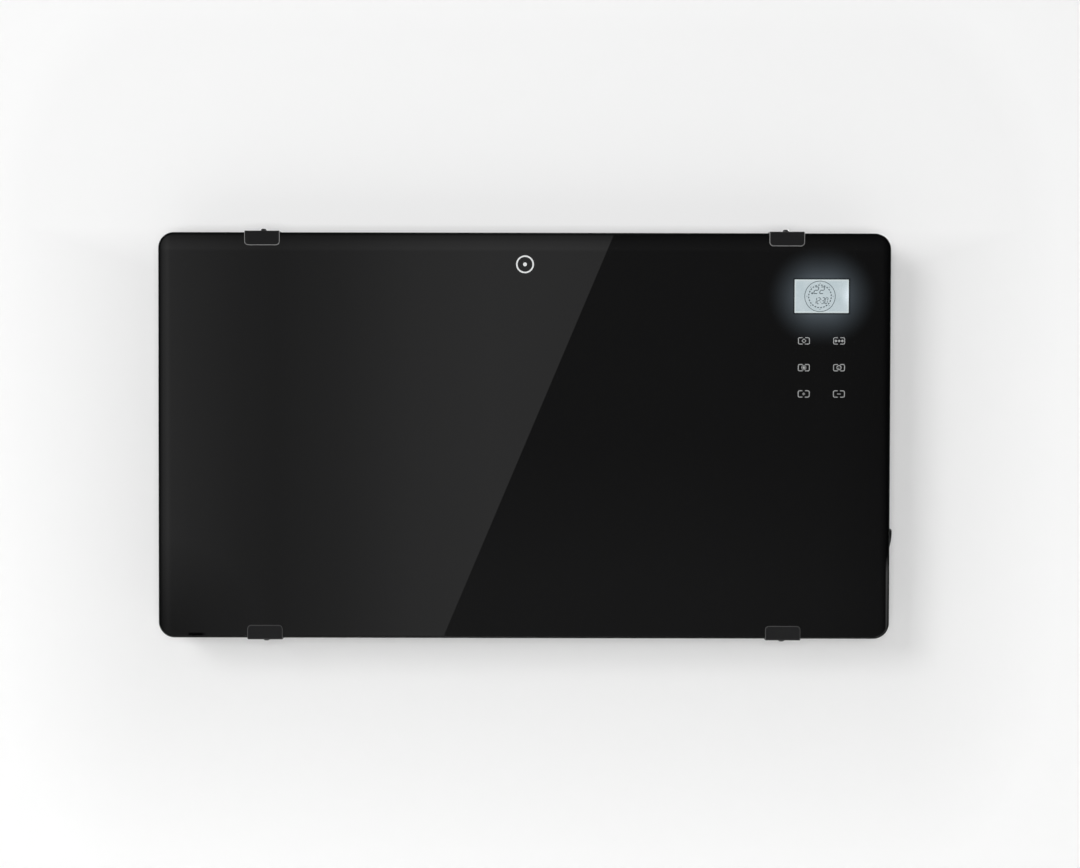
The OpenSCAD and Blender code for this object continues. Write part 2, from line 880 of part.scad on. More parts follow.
// One curved louvre blade in side view, its foot at the origin, leaning to the front
module blade_profile() {
    translate([-blade_r, 0])
        intersection() {
            difference() {
                circle(blade_r + blade_t / 2, $fn = 96);
                circle(blade_r - blade_t / 2, $fn = 96);
            }
            polygon([[0, 0], [2 * blade_r, 0], [2 * blade_r, 2 * blade_r * tan(blade_angle)]]);
        }
}

module outlet_grille() {
    x0 = outlet_x0 + fit_gap;
    x1 = outlet_x1 - fit_gap;
    y0 = outlet_y0 + fit_gap;
    y1 = outlet_y1 - fit_gap;
    color([0.12, 0.12, 0.13]) {
        difference() {
            union() {
                block(x0, x1, y0, y1, grille_low, case_top + grille_rim_t);
                along_z(case_top, case_top + grille_rim_t)
                    translate([(x0 + x1) / 2, (y0 + y1) / 2])
                        rounded_rect(x1 - x0 + 2 * grille_rim, y1 - y0 + 2 * grille_rim, grille_rim);
            }
            block(x0 + grille_wall, x1 - grille_wall, y0 + grille_wall, y1 - grille_wall,
                grille_low - eps, case_top + grille_rim_t + eps);
        }
        for (i = [1 : blade_count])
            translate([0, grille_inner_y1 - i * blade_step, grille_low])
                along_x(x0 + grille_wall - eps, x1 - grille_wall + eps)
                    blade_profile();
        for (i = [1 : grille_rib_count])
            translate([outlet_x0 + i * grille_rib_step, 0, 0])
                block(-grille_rib_t / 2, grille_rib_t / 2, y0 + grille_wall - eps, y1 - grille_wall + eps,
                    grille_low, case_top - 2);
    }
}

module glass_corners(inset, y0, y1) {
    r = glass_corner_r - inset;
    for (x = [-1, 1], z = [z_bottom + glass_corner_r, z_top - glass_corner_r])
        translate([x * (glass_w / 2 - glass_corner_r), y1, z])
            rotate([90, 0, 0])
                cylinder(h = y1 - y0, r = r, $fn = 64);
}

module glass_panel() {
    color([0.02, 0.02, 0.03, 0.9])
        hull() {
            glass_corners(0, y_glass_front + glass_chamfer, y_glass_back - glass_chamfer);
            glass_corners(glass_chamfer, y_glass_front, y_glass_back);
        }
}

module glass_print() {
    color("black")
        along_y(y_glass_back, y_print_back)
            difference() {
                translate([0, z_mid])
                    rounded_rect(glass_w - 2 * glass_chamfer, glass_h - 2 * glass_chamfer,
                        glass_corner_r - glass_chamfer);
                translate([display_x, display_z])
                    rounded_rect(window_w, window_h, window_r);
            }
}

module glass_tapes() {
    side_x = glass_w / 2 - tape_inset - tape_w / 2;
    end_z = glass_h / 2 - tape_inset - tape_w / 2;
    color("dimgray")
        along_y(y_print_back, y_front)
            translate([0, z_mid])
                for (s = [-1, 1]) {
                    translate([s * side_x, 0])
                        square([tape_w, 2 * (end_z - tape_w)], center = true);
                    translate([0, s * end_z])
                        square([2 * (side_x - tape_w), tape_w], center = true);
                }
}

// Upper clip about its own middle: a leg over the glass's edge and a tab down its face
module glass_clip() {
    leg = clip_screw_y + clip_head_r + 2 - y_clip_front;
    tab_top = case_top + clip_t;
    difference() {
        intersection() {
            along_x(-clip_w / 2, clip_w / 2)
                translate([y_clip_front, tab_top])
                    mirror([0, 1])
                        angle_profile(leg, clip_tab, clip_t, clip_bend_r);
            along_y(y_clip_front - eps, y_back)
                translate([0, tab_top - clip_tab])
                    union() {
                        translate([-clip_w / 2, clip_corner_r])
                            square([clip_w, clip_tab]);
                        translate([-clip_w / 2 + clip_corner_r, 0])
                            square([clip_w - 2 * clip_corner_r, clip_tab]);
                        for (s = [-1, 1])
                            translate([s * (clip_w / 2 - clip_corner_r), clip_corner_r])
                                circle(clip_corner_r);
                    }
        }
        translate([0, clip_screw_y, case_top - eps])
            cylinder(h = clip_t + 2 * eps, r = clip_shank_r + screw_gap);
    }
}

module glass_clip_at(side, bottom) {
    color([0.2, 0.2, 0.21])
        at_clip(side, bottom)
            glass_clip();
}

module clip_pads() {
    pad_margin = 2.5;
    color([0.08, 0.08, 0.08])
        at_clips()
            block(-clip_w / 2 + pad_margin, clip_w / 2 - pad_margin, y_clip_back, y_glass_front,
                case_top + clip_t - clip_tab + pad_margin, z_top - glass_chamfer);
}

module clip_screws() {
    color([0.12, 0.12, 0.12])
        at_clips()
            translate([0, clip_screw_y, case_top + clip_t])
                pan_screw(clip_head_r, clip_head_h, clip_shank_r, clip_screw_l);
}

module cap_screws() {
    color([0.12, 0.12, 0.12])
        at_cap_screws()
            rotate([-90, 0, 0])
                pan_screw(small_head_r, small_head_h, small_shank_r, cap_screw_l);
}

// One arm of the finned extrusion with the riblets on both its faces
module fin_arm() {
    translate([0, -arm_t / 2])
        square([arm_l, arm_t]);
    first = tube_r + hub_wall + riblet_pitch / 2;
    for (u = [first : riblet_pitch : arm_l - riblet_t])
        translate([u, 0])
            square([riblet_t, riblet_l], center = true);
    translate([arm_l, 0])
        circle(arm_bead_r);
}

module element_fins() {
    color("silver")
        along_x(fins_x0, fins_x1)
            translate([y_mid, element_z])
                difference() {
                    union() {
                        circle(tube_r + hub_wall);
                        for (a = [arm_angle, 180 - arm_angle, 180 + arm_angle, 360 - arm_angle])
                            rotate(a)
                                fin_arm();
                    }
                    circle(tube_r + tube_gap);
                }
}

module element_tube() {
    color([0.45, 0.42, 0.4]) {
        translate([tube_x0, y_mid, element_z])
            rotate([0, 90, 0])
                cylinder(h = tube_x1 - tube_x0, r = tube_r);
        for (s = [-1, 1])
            translate([tube_x1, y_mid, element_z + s * stud_z])
                rotate([0, 90, 0])
                    cylinder(h = stud_l, r = wire_r);
    }
}

module element_bushes() {
    color([0.85, 0.83, 0.76])
        for (x = [bracket_left_x + bracket_t / 2, bracket_right_x - bracket_t / 2])
            translate([x, y_mid, element_z])
                rotate([0, 90, 0])
                    difference() {
                        union() {
                            cylinder(h = bracket_t + 2 * fit_gap, r = bush_r - fit_gap, center = true);
                            for (s = [-1, 1])
                                translate([0, 0, s * (bracket_t + 2 * fit_gap + bush_collar_l) / 2])
                                    cylinder(h = bush_collar_l, r = bush_collar_r, center = true);
                        }
                        cylinder(h = 4 * bush_collar_l + bracket_t, r = tube_r + tube_gap, center = true);
                    }
}

// Bracket whose foot lies on the casing's back sheet and points along dir
module element_bracket(x, dir) {
    reach = y_inner_back - y_mid + bush_collar_r + 2;
    color([0.7, 0.7, 0.72])
        difference() {
            along_z(element_z - bracket_h / 2, element_z + bracket_h / 2)
                translate([x, y_inner_back])
                    scale([dir, -1])
                        angle_profile(bracket_foot, reach, bracket_t, small_bend_r);
            translate([x, y_mid, element_z])
                rotate([0, 90, 0])
                    cylinder(h = 4 * bracket_t, r = bush_r, center = true);
        }
}

module rear_heat_shield() {
    color([0.78, 0.78, 0.8])
        along_x(shield_x0, shield_x1)
            translate([y_rear_shield, shield_z])
                channel_profile(shield_h, shield_gap + shield_t, shield_t, shield_bend_r);
}

module front_heat_shield() {
    color([0.78, 0.78, 0.8])
        along_x(shield_x0, shield_x1)
            translate([y_front_shield, shield_z])
                mirror([1, 0])
                    channel_profile(shield_h, shield_gap + shield_t, shield_t, shield_bend_r);
}

// Sheet between the heated bay and the bay of the circuit boards, its foot on the casing's back
module bay_partition() {
    wire_window = 16;
    color([0.7, 0.7, 0.72])
        difference() {
            along_z(case_bottom + bend_r + fit_gap, case_top - bend_r - fit_gap)
                translate([bay_x, y_inner_back])
                    scale([-1, -1])
                        angle_profile(bracket_foot, case_depth - 2 * sheet_t - fit_gap, bracket_t,
                            small_bend_r);
            along_x(bay_x - bracket_foot - eps, bay_x + eps) {
                translate([y_mid, element_z])
                    circle(bush_collar_r);
                translate([y_wire, wire_floor])
                    square([wire_window, wire_window], center = true);
            }
        }
}

module thermal_cutout() {
    cutout_x = fins_x0 + 150;
    cutout_z = shield_z + shield_h / 4;
    color([0.8, 0.78, 0.7]) {
        along_y(y_rear_shield - 1, y_rear_shield)
            translate([cutout_x, cutout_z])
                slot_shape(cutout_l, cutout_w);
        bar_y(cutout_x, cutout_z, cutout_r, y_rear_shield - cutout_h, y_rear_shield);
        for (s = [-1, 1])
            block(cutout_x - tab_w / 2, cutout_x + tab_w / 2, y_rear_shield - cutout_h - cutout_tab,
                y_rear_shield - cutout_h + eps, cutout_z + s * cutout_r / 2 - tab_t / 2,
                cutout_z + s * cutout_r / 2 + tab_t / 2);
    }
}

module at_touch_keys() {
    for (side = [-1, 1], row = [0 : 2])
        translate([display_x + side * key_col / 2, 0, z_top - key_drop - row * key_row])
            children();
}

module display_housing() {
    y_floor = y_housing_back - housing_wall;
    post_x = touch_board_w / 2 - post_in;
    post_z = touch_board_h / 2 - post_in;
    color([0.15, 0.15, 0.16]) {
        difference() {
            union() {
                along_y(y_front - housing_flange_t, y_front)
                    translate([display_x, housing_z])
                        rounded_rect(housing_w + 2 * housing_flange, housing_h + 2 * housing_flange,
                            housing_flange);
                along_y(y_front - eps, y_housing_back)
                    translate([display_x, housing_z])
                        rounded_rect(housing_w, housing_h, housing_r);
            }
            along_y(y_front - housing_flange_t - eps, y_floor)
                translate([display_x, housing_z])
                    rounded_rect(housing_w - 2 * housing_wall, housing_h - 2 * housing_wall,
                        housing_r - housing_wall);
            block(display_x - ribbon_w / 2 - 1, display_x + ribbon_w / 2 + 1, y_floor - eps,
                y_housing_back + eps, ribbon_z - 2, ribbon_z + 2);
        }
        for (x = [-1, 1], z = [-1, 1])
            bar_y(display_x + x * post_x, housing_z + z * post_z, post_r, y_touch_back, y_floor + eps);
    }
}

module touch_board() {
    color([0.1, 0.35, 0.2])
        along_y(y_touch_front, y_touch_back)
            translate([display_x, housing_z])
                rounded_rect(touch_board_w, touch_board_h, housing_r - housing_wall);
}

module touch_pads() {
    color([0.25, 0.25, 0.27])
        at_touch_keys()
            bar_y(0, 0, pad_r, y_print_back, y_touch_front);
}

module lcd_panel() {
    color([0.75, 0.8, 0.84])
        along_y(y_lcd_front, y_backlight_front)
            translate([display_x, display_z])
                square([lcd_w, lcd_h], center = true);
}

module lcd_backlight() {
    color("white")
        along_y(y_backlight_front, y_touch_front)
            translate([display_x, display_z])
                rounded_rect(lcd_w, lcd_h, window_r);
}

module lcd_gasket() {
    color([0.06, 0.06, 0.06])
        along_y(y_print_back, y_lcd_front)
            translate([display_x, display_z])
                difference() {
                    square([lcd_w, lcd_h], center = true);
                    square([window_w + 1, window_h + 1], center = true);
                }
}

module at_board_corners() {
    side_x = power_board_w / 2 - post_in;
    end_z = power_board_h / 2 - post_in;
    for (x = [-1, 1], z = [-1, 1])
        translate([power_x + x * side_x, 0, power_z + z * end_z])
            children();
}

module board_tray() {
    y_floor = y_inner_back - housing_wall;
    color([0.85, 0.85, 0.82]) {
        difference() {
            along_y(y_tray_front, y_inner_back)
                translate([power_x, power_z])
                    rounded_rect(tray_w, tray_h, housing_r);
            along_y(y_tray_front - eps, y_floor)
                translate([power_x, power_z])
                    rounded_rect(tray_w - 2 * housing_wall, tray_h - 2 * housing_wall,
                        housing_r - housing_wall);
        }
        at_board_corners()
            difference() {
                bar_y(0, 0, post_r, y_power_back, y_floor + eps);
                bar_y(0, 0, small_shank_r + screw_gap, y_power_back - eps, y_floor - 1);
            }
    }
}

module power_board() {
    color([0.12, 0.4, 0.22])
        difference() {
            along_y(y_power_front, y_power_back)
                translate([power_x, power_z])
                    square([power_board_w, power_board_h], center = true);
            at_board_corners()
                bar_y(0, 0, small_shank_r + screw_gap, y_power_front - eps, y_power_back + eps);
        }
}

// Piece that stands on the power board, by its middle and sizes in the front view
module on_board(x, z, w, h, rise) {
    block(power_x + x - w / 2, power_x + x + w / 2, y_power_front - rise, y_power_front,
        power_z + z - h / 2, power_z + z + h / 2);
}

module relays() {
    color([0.1, 0.1, 0.12])
        for (i = [0, 1])
            on_board(relay_u, relay_v + i * (relay_w + 4), relay_l, relay_w, relay_h);
}

module transformer() {
    core_h = 0.8 * transformer_w;
    color([0.35, 0.33, 0.3])
        on_board(transformer_u, transformer_v, transformer_w, core_h, transformer_h);
    color([0.75, 0.6, 0.2])
        on_board(transformer_u, transformer_v, 0.5 * transformer_w, core_h + 10, transformer_h - 4);
}

module capacitors() {
    color([0.15, 0.2, 0.4])
        for (i = [0 : 2])
            bar_y(power_x + capacitor_u + i * (2 * capacitor_r + 3), power_z + capacitor_v, capacitor_r,
                y_power_front - capacitor_h, y_power_front);
}

// Plug connectors along the board's lower edge, and the ribbon's header at its upper edge
module board_connectors() {
    low = connector_z0 - power_z + connector_d / 2;
    color("ivory") {
        on_board(mains_wire_x - power_x, low, plug_w, connector_d, connector_h);
        on_board(sensor_x - power_x, low, small_plug_w, connector_d, connector_h);
        on_board(element_wire_x - power_x, low + element_plug_rise, plug_w, connector_d,
            tall_connector_h);
        on_board(switch_wire_x - power_x, z_switch - power_z, small_plug_w, 2 * tab_z + 8, connector_h);
        on_board(display_x - power_x, ribbon_z - power_z, ribbon_w + 4, header_d, header_h);
    }
}

module board_screws() {
    color("silver")
        at_board_corners()
            translate([0, y_power_front, 0])
                rotate([90, 0, 0])
                    pan_screw(small_head_r, small_head_h, small_shank_r, board_screw_l);
}

module display_ribbon() {
    color([0.6, 0.6, 0.62])
        block(display_x - ribbon_w / 2, display_x + ribbon_w / 2, y_touch_back, y_power_front - header_h,
            ribbon_z - ribbon_t / 2, ribbon_z + ribbon_t / 2);
}

// Rocker in side view about its pivot: u points out of the switch and v up, level between its stops
module rocker_profile() {
    intersection() {
        circle(rocker_r, $fn = 96);
        translate([rocker_rise - rocker_face_r, 0])
            circle(rocker_face_r, $fn = 360);
        translate([-rocker_skirt, -rocker_r - 1])
            square([rocker_skirt + rocker_rise + 1, 2 * rocker_r + 2]);
    }
}

module power_switch() {
    color([0.05, 0.05, 0.05])
        translate([cap_x, y_switch, z_switch])
            difference() {
                union() {
                    along_x(0, switch_flange_t)
                        rounded_rect(switch_w, switch_l, switch_corner_r);
                    along_x(-switch_depth, eps)
                        square([switch_body_w, switch_body_l], center = true);
                    for (s = [-1, 1])
                        block(-switch_depth - tab_l, -switch_depth + eps, -tab_w / 2, tab_w / 2,
                            s * tab_z - tab_t / 2, s * tab_z + tab_t / 2);
                }
                along_x(-switch_cavity, switch_flange_t + eps)
                    square([rocker_w + 2 * rocker_gap, 2 * (rocker_r + rocker_gap)], center = true);
                translate([0, switch_body_w, 0])
                    rotate([90, 0, 0])
                        cylinder(h = 2 * switch_body_w, r = rocker_pin_r + pin_gap);
            }
}

module power_rocker() {
    color([0.05, 0.05, 0.05])
        translate([cap_x, y_switch, z_switch])
            rotate([0, rocker_tilt, 0]) {
                translate([0, -rocker_w / 2, 0])
                    rotate([90, 0, 0])
                        mirror([0, 0, 1])
                            linear_extrude(rocker_w)
                                rocker_profile();
                translate([0, rocker_w / 2 + rocker_gap + 0.8 * switch_wall, 0])
                    rotate([90, 0, 0])
                        cylinder(h = rocker_w + 2 * rocker_gap + 1.6 * switch_wall, r = rocker_pin_r);
            }
}

module switch_wires() {
    color([0.5, 0.3, 0.1])
        for (s = [-1, 1])
            translate([switch_tab_x, y_switch, z_switch + s * tab_z])
                rotate([-90, 0, 0])
                    mirror([1, 0, 0])
                        angle_wire(switch_tab_x - switch_wire_x, y_power_front - connector_h - y_switch,
                            wire_r);
}

module tip_switch_case() {
    color([0.85, 0.85, 0.82]) {
        difference() {
            block(tip_x - tip_w / 2, tip_x + tip_w / 2, y_tip - tip_d / 2, y_tip + tip_d / 2, floor_z,
                tip_top);
            block(tip_x - tip_w / 2 + tip_wall, tip_x + tip_w / 2 - tip_wall, y_tip - tip_d / 2 + tip_wall,
                y_tip + tip_d / 2 - tip_wall, floor_z + tip_wall, tip_top + eps);
        }
        translate([tip_x - tip_w / 2, y_tip, tip_pin_z])
            rotate([0, 90, 0])
                cylinder(h = tip_w, r = tip_pin_r);
    }
}

module tip_pendulum() {
    color([0.6, 0.5, 0.25])
        translate([tip_x, y_tip, tip_pin_z])
            difference() {
                union() {
                    rotate([0, 90, 0])
                        cylinder(h = hub_l, r = hub_r, center = true);
                    block(-hub_l / 4, hub_l / 4, -2, 2, -pendulum_l, 0);
                    translate([0, 0, -pendulum_l])
                        rotate([0, 90, 0])
                            cylinder(h = weight_l, r = weight_r, center = true);
                }
                rotate([0, 90, 0])
                    cylinder(h = 2 * hub_l, r = tip_pin_r + pin_gap, center = true);
            }
}

module tip_microswitch() {
    x1 = tip_x + tip_w / 2 - tip_wall;
    color([0.1, 0.1, 0.1])
        block(x1 - microswitch_w, x1, y_tip - microswitch_l / 2, y_tip + microswitch_l / 2,
            tip_pin_z + tip_pin_r + 0.5, tip_top);
}

module cord_gland() {
    body_r = gland_bore_r + gland_wall;
    color([0.1, 0.1, 0.1])
        translate([-shell_x + gland_inset, y_mid, 0])
            difference() {
                union() {
                    translate([0, 0, case_bottom - eps])
                        cylinder(h = sheet_t + 2 * eps, r = body_r);
                    translate([0, 0, case_bottom - gland_collar_h])
                        cylinder(h = gland_collar_h, r = body_r + gland_collar);
                    translate([0, 0, floor_z])
                        cylinder(h = gland_collar_h, r = body_r + gland_collar);
                }
                translate([0, 0, case_bottom - gland_collar_h - eps])
                    cylinder(h = sheet_t + 2 * gland_collar_h + 2 * eps, r = gland_bore_r);
            }
}

module terminal_block() {
    color("ivory")
        difference() {
            block(block_x0, block_x0 + block_w, y_inner_back - block_d, y_inner_back, block_z0,
                block_z0 + block_h);
            for (i = [1 : 3])
                bar_y(block_x0 + i * block_w / 4, block_z0 + block_h / 2, block_bore_r,
                    y_inner_back - block_d - eps, y_inner_back - block_d / 2);
        }
}

// Wires that drop from the terminal block, run along the floor and rise to the power board
module mains_wires() {
    for (i = [0, 1]) {
        start_x = block_x0 + block_w - 4 - i * 2 * wire_step;
        end_x = mains_wire_x + wire_step - i * 2 * wire_step;
        color(i == 0 ? "saddlebrown" : "steelblue")
            translate([0, y_wire + (i - 0.5) * wire_step, wire_floor]) {
                angle_wire(end_x, connector_z0 - wire_floor, wire_r);
                mirror([1, 0, 0])
                    angle_wire(-start_x, block_z0 - wire_floor, wire_r);
            }
    }
}

module element_wires() {
    start_x = tube_x1 + stud_l;
    color("firebrick")
        for (s = [-1, 1])
            translate([start_x, y_mid, element_z + s * stud_z])
                angle_wire(element_wire_x - s * wire_step - start_x,
                    connector_z0 + element_plug_rise - element_z - s * stud_z, wire_r);
}

module room_sensor() {
    color([0.2, 0.2, 0.2]) {
        translate([sensor_x, y_wire, case_bottom - sensor_drop])
            cylinder(h = sensor_drop + sheet_t + eps, r = sensor_r);
        translate([sensor_x, y_wire, floor_z])
            cylinder(h = sensor_h, r = sensor_r + 2);
    }
}

module sensor_wire() {
    color([0.3, 0.3, 0.3])
        translate([sensor_x, y_wire, floor_z + sensor_h])
            cylinder(h = connector_z0 - floor_z - sensor_h, r = wire_r * 0.75);
}

module at_spacers() {
    for (side = [-1, 1])
        translate([side * (glass_w / 2 - spacer_inset), y_back, case_bottom + spacer_rise])
            rotate([-90, 0, 0])
                children();
}

module wall_spacers() {
    flange_t = 2;
    color([0.13, 0.13, 0.14])
        at_spacers() {
            cylinder(h = flange_t, r = spacer_r + 2);
            cylinder(h = back_gap - wall_gap - spacer_tip_t, r1 = spacer_r, r2 = spacer_tip_r);
        }
}

module spacer_tips() {
    color([0.08, 0.08, 0.08])
        at_spacers()
            translate([0, 0, back_gap - wall_gap - spacer_tip_t])
                cylinder(h = spacer_tip_t, r = spacer_tip_r);
}

wall_rail();
rear_shell();
front_plate();
side_cap_left();
side_cap_right();
outlet_grille();
glass_panel();
glass_print();
glass_tapes();
glass_clip_at(-1, false);  // glass_clip_top_left
glass_clip_at(1, false);  // glass_clip_top_right
glass_clip_at(-1, true);  // glass_clip_bottom_left
glass_clip_at(1, true);  // glass_clip_bottom_right
clip_pads();
clip_screws();
cap_screws();
element_fins();
element_tube();
element_bushes();
element_bracket(bracket_left_x, 1);  // element_bracket_left
element_bracket(bracket_right_x, -1);  // element_bracket_right
rear_heat_shield();
front_heat_shield();
bay_partition();
thermal_cutout();
display_housing();
touch_board();
touch_pads();
lcd_panel();
lcd_backlight();
lcd_gasket();
board_tray();
power_board();
relays();
transformer();
capacitors();
board_connectors();
board_screws();
display_ribbon();
power_switch();
power_rocker();
switch_wires();
tip_switch_case();
tip_pendulum();
tip_microswitch();
cord_gland();
terminal_block();
mains_wires();
element_wires();
room_sensor();
sensor_wire();
wall_spacers();
spacer_tips();
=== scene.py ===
# Looks for the wall convector heater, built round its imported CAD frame.
# Metres: +X to the right as the front is faced, +Y into the wall, +Z up.
import json
import math

import bmesh
import bpy
from mathutils import Matrix, Vector

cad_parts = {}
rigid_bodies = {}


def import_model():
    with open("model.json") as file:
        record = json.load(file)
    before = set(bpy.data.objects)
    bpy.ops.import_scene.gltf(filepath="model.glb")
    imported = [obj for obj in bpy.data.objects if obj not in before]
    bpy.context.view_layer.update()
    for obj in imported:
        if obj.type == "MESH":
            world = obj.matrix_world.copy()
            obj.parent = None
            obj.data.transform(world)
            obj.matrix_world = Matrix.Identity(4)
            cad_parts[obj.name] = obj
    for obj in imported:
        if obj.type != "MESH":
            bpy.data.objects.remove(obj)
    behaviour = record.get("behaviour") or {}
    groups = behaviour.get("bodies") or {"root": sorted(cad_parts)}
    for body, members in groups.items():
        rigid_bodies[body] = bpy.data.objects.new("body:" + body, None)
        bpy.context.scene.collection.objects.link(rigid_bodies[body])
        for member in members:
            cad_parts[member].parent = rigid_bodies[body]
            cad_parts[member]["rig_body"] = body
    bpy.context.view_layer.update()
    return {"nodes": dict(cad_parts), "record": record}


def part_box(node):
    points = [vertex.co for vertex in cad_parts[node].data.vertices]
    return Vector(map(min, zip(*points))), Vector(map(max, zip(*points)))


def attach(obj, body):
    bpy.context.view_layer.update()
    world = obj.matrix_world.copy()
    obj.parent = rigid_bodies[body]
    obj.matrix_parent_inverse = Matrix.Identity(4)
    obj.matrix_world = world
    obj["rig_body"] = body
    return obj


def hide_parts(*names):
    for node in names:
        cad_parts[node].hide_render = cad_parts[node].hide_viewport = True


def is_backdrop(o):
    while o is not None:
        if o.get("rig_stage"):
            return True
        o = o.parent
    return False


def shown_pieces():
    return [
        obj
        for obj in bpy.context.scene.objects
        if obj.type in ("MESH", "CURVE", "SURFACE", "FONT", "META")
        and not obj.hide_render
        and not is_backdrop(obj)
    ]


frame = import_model()

MM = 0.001
# Turns a flat drawing upright, to face the room
FRONT = Matrix.Rotation(math.radians(90), 4, "X")

glass_low, glass_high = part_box("glass_panel")
lcd_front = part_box("lcd_panel")[0].y
GLASS_Z = (glass_low.z + glass_high.z) / 2
GLASS_FRONT = glass_low.y

# Places and sizes on the glass in millimetres from its middle, as they stand in the photograph
WINDOW_X, WINDOW_Z = 336.8, 159.0
WINDOW_W, WINDOW_H = 61.4, 37.9
KEY_COLUMNS = (316.6, 356.5)
KEY_ROWS = (108.4, 78.1, 48.3)
KEY_SIZE = (13.4, 8.1)
KEY_CORNER_R = 2.0
KEY_STROKE = 0.9
KEY_GAP = 2.8
RING_PLACE = (0.5, 194.3)
RING_R = 9.25
RING_STROKE = 1.7
RING_DOT_R = 2.2
DIAL_PLACE = (335.0, 158.9)

# Millimetres of air between the glass and the print, and of ink on the glass, the display and the rocker
AIR = 0.03
GLASS_INK = 0.03
DISPLAY_INK = 0.04
ROCKER_INK = 0.12

# Head radius, head height, shank radius and shank length of the screws, in millimetres
CLIP_SCREW = (3.9, 3.1, 1.9, 10.0)
CAP_SCREW = (2.8, 2.0, 1.4, 9.0)

# Colour of the painted glow that the print gives off round the display, standing for the light that leaks
# out there
PAINTED_GLOW = (0.70, 0.86, 1.0, 1.0)

# What the glass mirrors, by place on the glass in metres from its middle. The slanted line runs along
# LINE_RUN through LINE_FOOT. BRIGHT_SIDE and DIM_SIDE are the light levels on its two sides, left to right.
LINE_FOOT = (-0.0913, -0.228)
LINE_RUN = (0.1896, 0.4496)
BRIGHT_SIDE = ((-0.415, 0.29), (-0.380, 0.237), (-0.323, 0.183), (-0.282, 0.165), (-0.209, 0.207),
               (-0.124, 0.282), (-0.039, 0.316), (0.110, 0.292))
DIM_SIDE = ((-0.10, 0.084), (0.15, 0.080), (0.34, 0.071), (0.415, 0.055))
# What the levels are multiplied by near the left, right, upper and lower borders
BORDERS = (
    ("X", ((-0.4128, 0.2), (-0.4113, 0.58), (-0.409, 0.9), (-0.4045, 1.26), (-0.4005, 1.0))),
    ("X", ((0.4045, 1.0), (0.4072, 0.77), (0.4094, 0.52), (0.4128, 0.05))),
    ("Z", ((0.2085, 1.0), (0.2119, 1.23), (0.2198, 1.0), (0.2225, 0.8), (0.2252, 0.72), (0.2278, 0.35))),
    ("Z", ((-0.2281, 0.3), (-0.2271, 1.1), (-0.2255, 1.08), (-0.224, 1.0))),
)


# Camera: the photograph's angle

def photo_camera():
    """A long lens a little above the middle of the glass and to its right, tipped down by its pitch."""
    distance = 3.0
    aside, above = 0.0177, 0.080
    pitch, roll = 1.7, -0.12
    width_at_glass = 1.2242
    sensor = 36.0
    lens_data = bpy.data.cameras.new("photo_camera")
    lens_data.sensor_width = sensor
    lens_data.lens = sensor * distance / width_at_glass
    lens_data.shift_y = 0.0092
    lens_data.clip_start = 0.05
    lens_data.clip_end = 60.0
    made = bpy.data.objects.new("photo_camera", lens_data)
    made.location = (aside, GLASS_FRONT - distance, GLASS_Z + above)
    made.rotation_euler = (math.radians(90 - pitch), math.radians(roll), 0.0)
    bpy.context.scene.collection.objects.link(made)
    bpy.context.scene.camera = made
    return made


# Shader building

def shade_tree(name):
    material = bpy.data.materials.new(name)
    material.use_nodes = True
    return material, material.node_tree, material.node_tree.nodes["Principled BSDF"]


def add(tree, kind, inputs=None, **settings):
    """A shader node of a kind, with its settings and the values of its unlinked inputs."""
    made = tree.nodes.new("ShaderNode" + kind)
    for key, value in settings.items():
        setattr(made, key, value)
    for key, value in (inputs or {}).items():
        made.inputs[key].default_value = value
    return made


def place_on_object(tree, scale=(1.0, 1.0, 1.0), offset=(0.0, 0.0, 0.0)):
    """The piece's own coordinates in metres, moved by offset and then stretched."""
    coords = add(tree, "TexCoord")
    moved = add(tree, "VectorMath", operation="ADD")
    moved.inputs[1].default_value = offset
    sized = add(tree, "VectorMath", operation="MULTIPLY")
    sized.inputs[1].default_value = scale
    tree.links.new(coords.outputs["Object"], moved.inputs[0])
    tree.links.new(moved.outputs[0], sized.inputs[0])
    return sized.outputs[0]


def noise(tree, vector, scale, detail=2.0, rough=0.5):
    made = add(tree, "TexNoise", {"Scale": scale, "Detail": detail, "Roughness": rough})
    tree.links.new(vector, made.inputs["Vector"])
    return made.outputs[0]


def between(tree, value, low, high, to_low, to_high):
    """Carries a value from one range to another and holds it at both ends."""
    made = add(tree, "MapRange", {"From Min": low, "From Max": high, "To Min": to_low, "To Max": to_high})
    tree.links.new(value, made.inputs["Value"])
    return made.outputs[0]


def blend_colours(tree, share, first, second):
    """The first colour where the share is 0 and the second where it is 1. Each is a triple or an output."""
    made = add(tree, "Mix", data_type="RGBA")
    for socket, value in ((made.inputs[6], first), (made.inputs[7], second)):
        if isinstance(value, tuple):
            socket.default_value = (*value, 1.0)
        else:
            tree.links.new(value, socket)
    tree.links.new(share, made.inputs[0])
    return made.outputs[2]


def combine(tree, operation, first, second):
    """A sum, product or the like of two values, each a number or an output."""
    made = add(tree, "Math", operation=operation)
    for socket, value in zip(made.inputs, (first, second)):
        if isinstance(value, float):
            socket.default_value = value
        else:
            tree.links.new(value, socket)
    return made.outputs[0]


def levels(tree, value, stops):
    """Grey levels along a value, from pairs of place and level in rising order."""
    low, high = stops[0][0], stops[-1][0]
    made = add(tree, "ValToRGB")
    tree.links.new(between(tree, value, low, high, 0.0, 1.0), made.inputs[0])
    first, last = made.color_ramp.elements
    first.color = (stops[0][1],) * 3 + (1.0,)
    last.color = (stops[-1][1],) * 3 + (1.0,)
    for place, level in stops[1:-1]:
        made.color_ramp.elements.new((place - low) / (high - low)).color = (level, level, level, 1.0)
    return made.outputs[0]


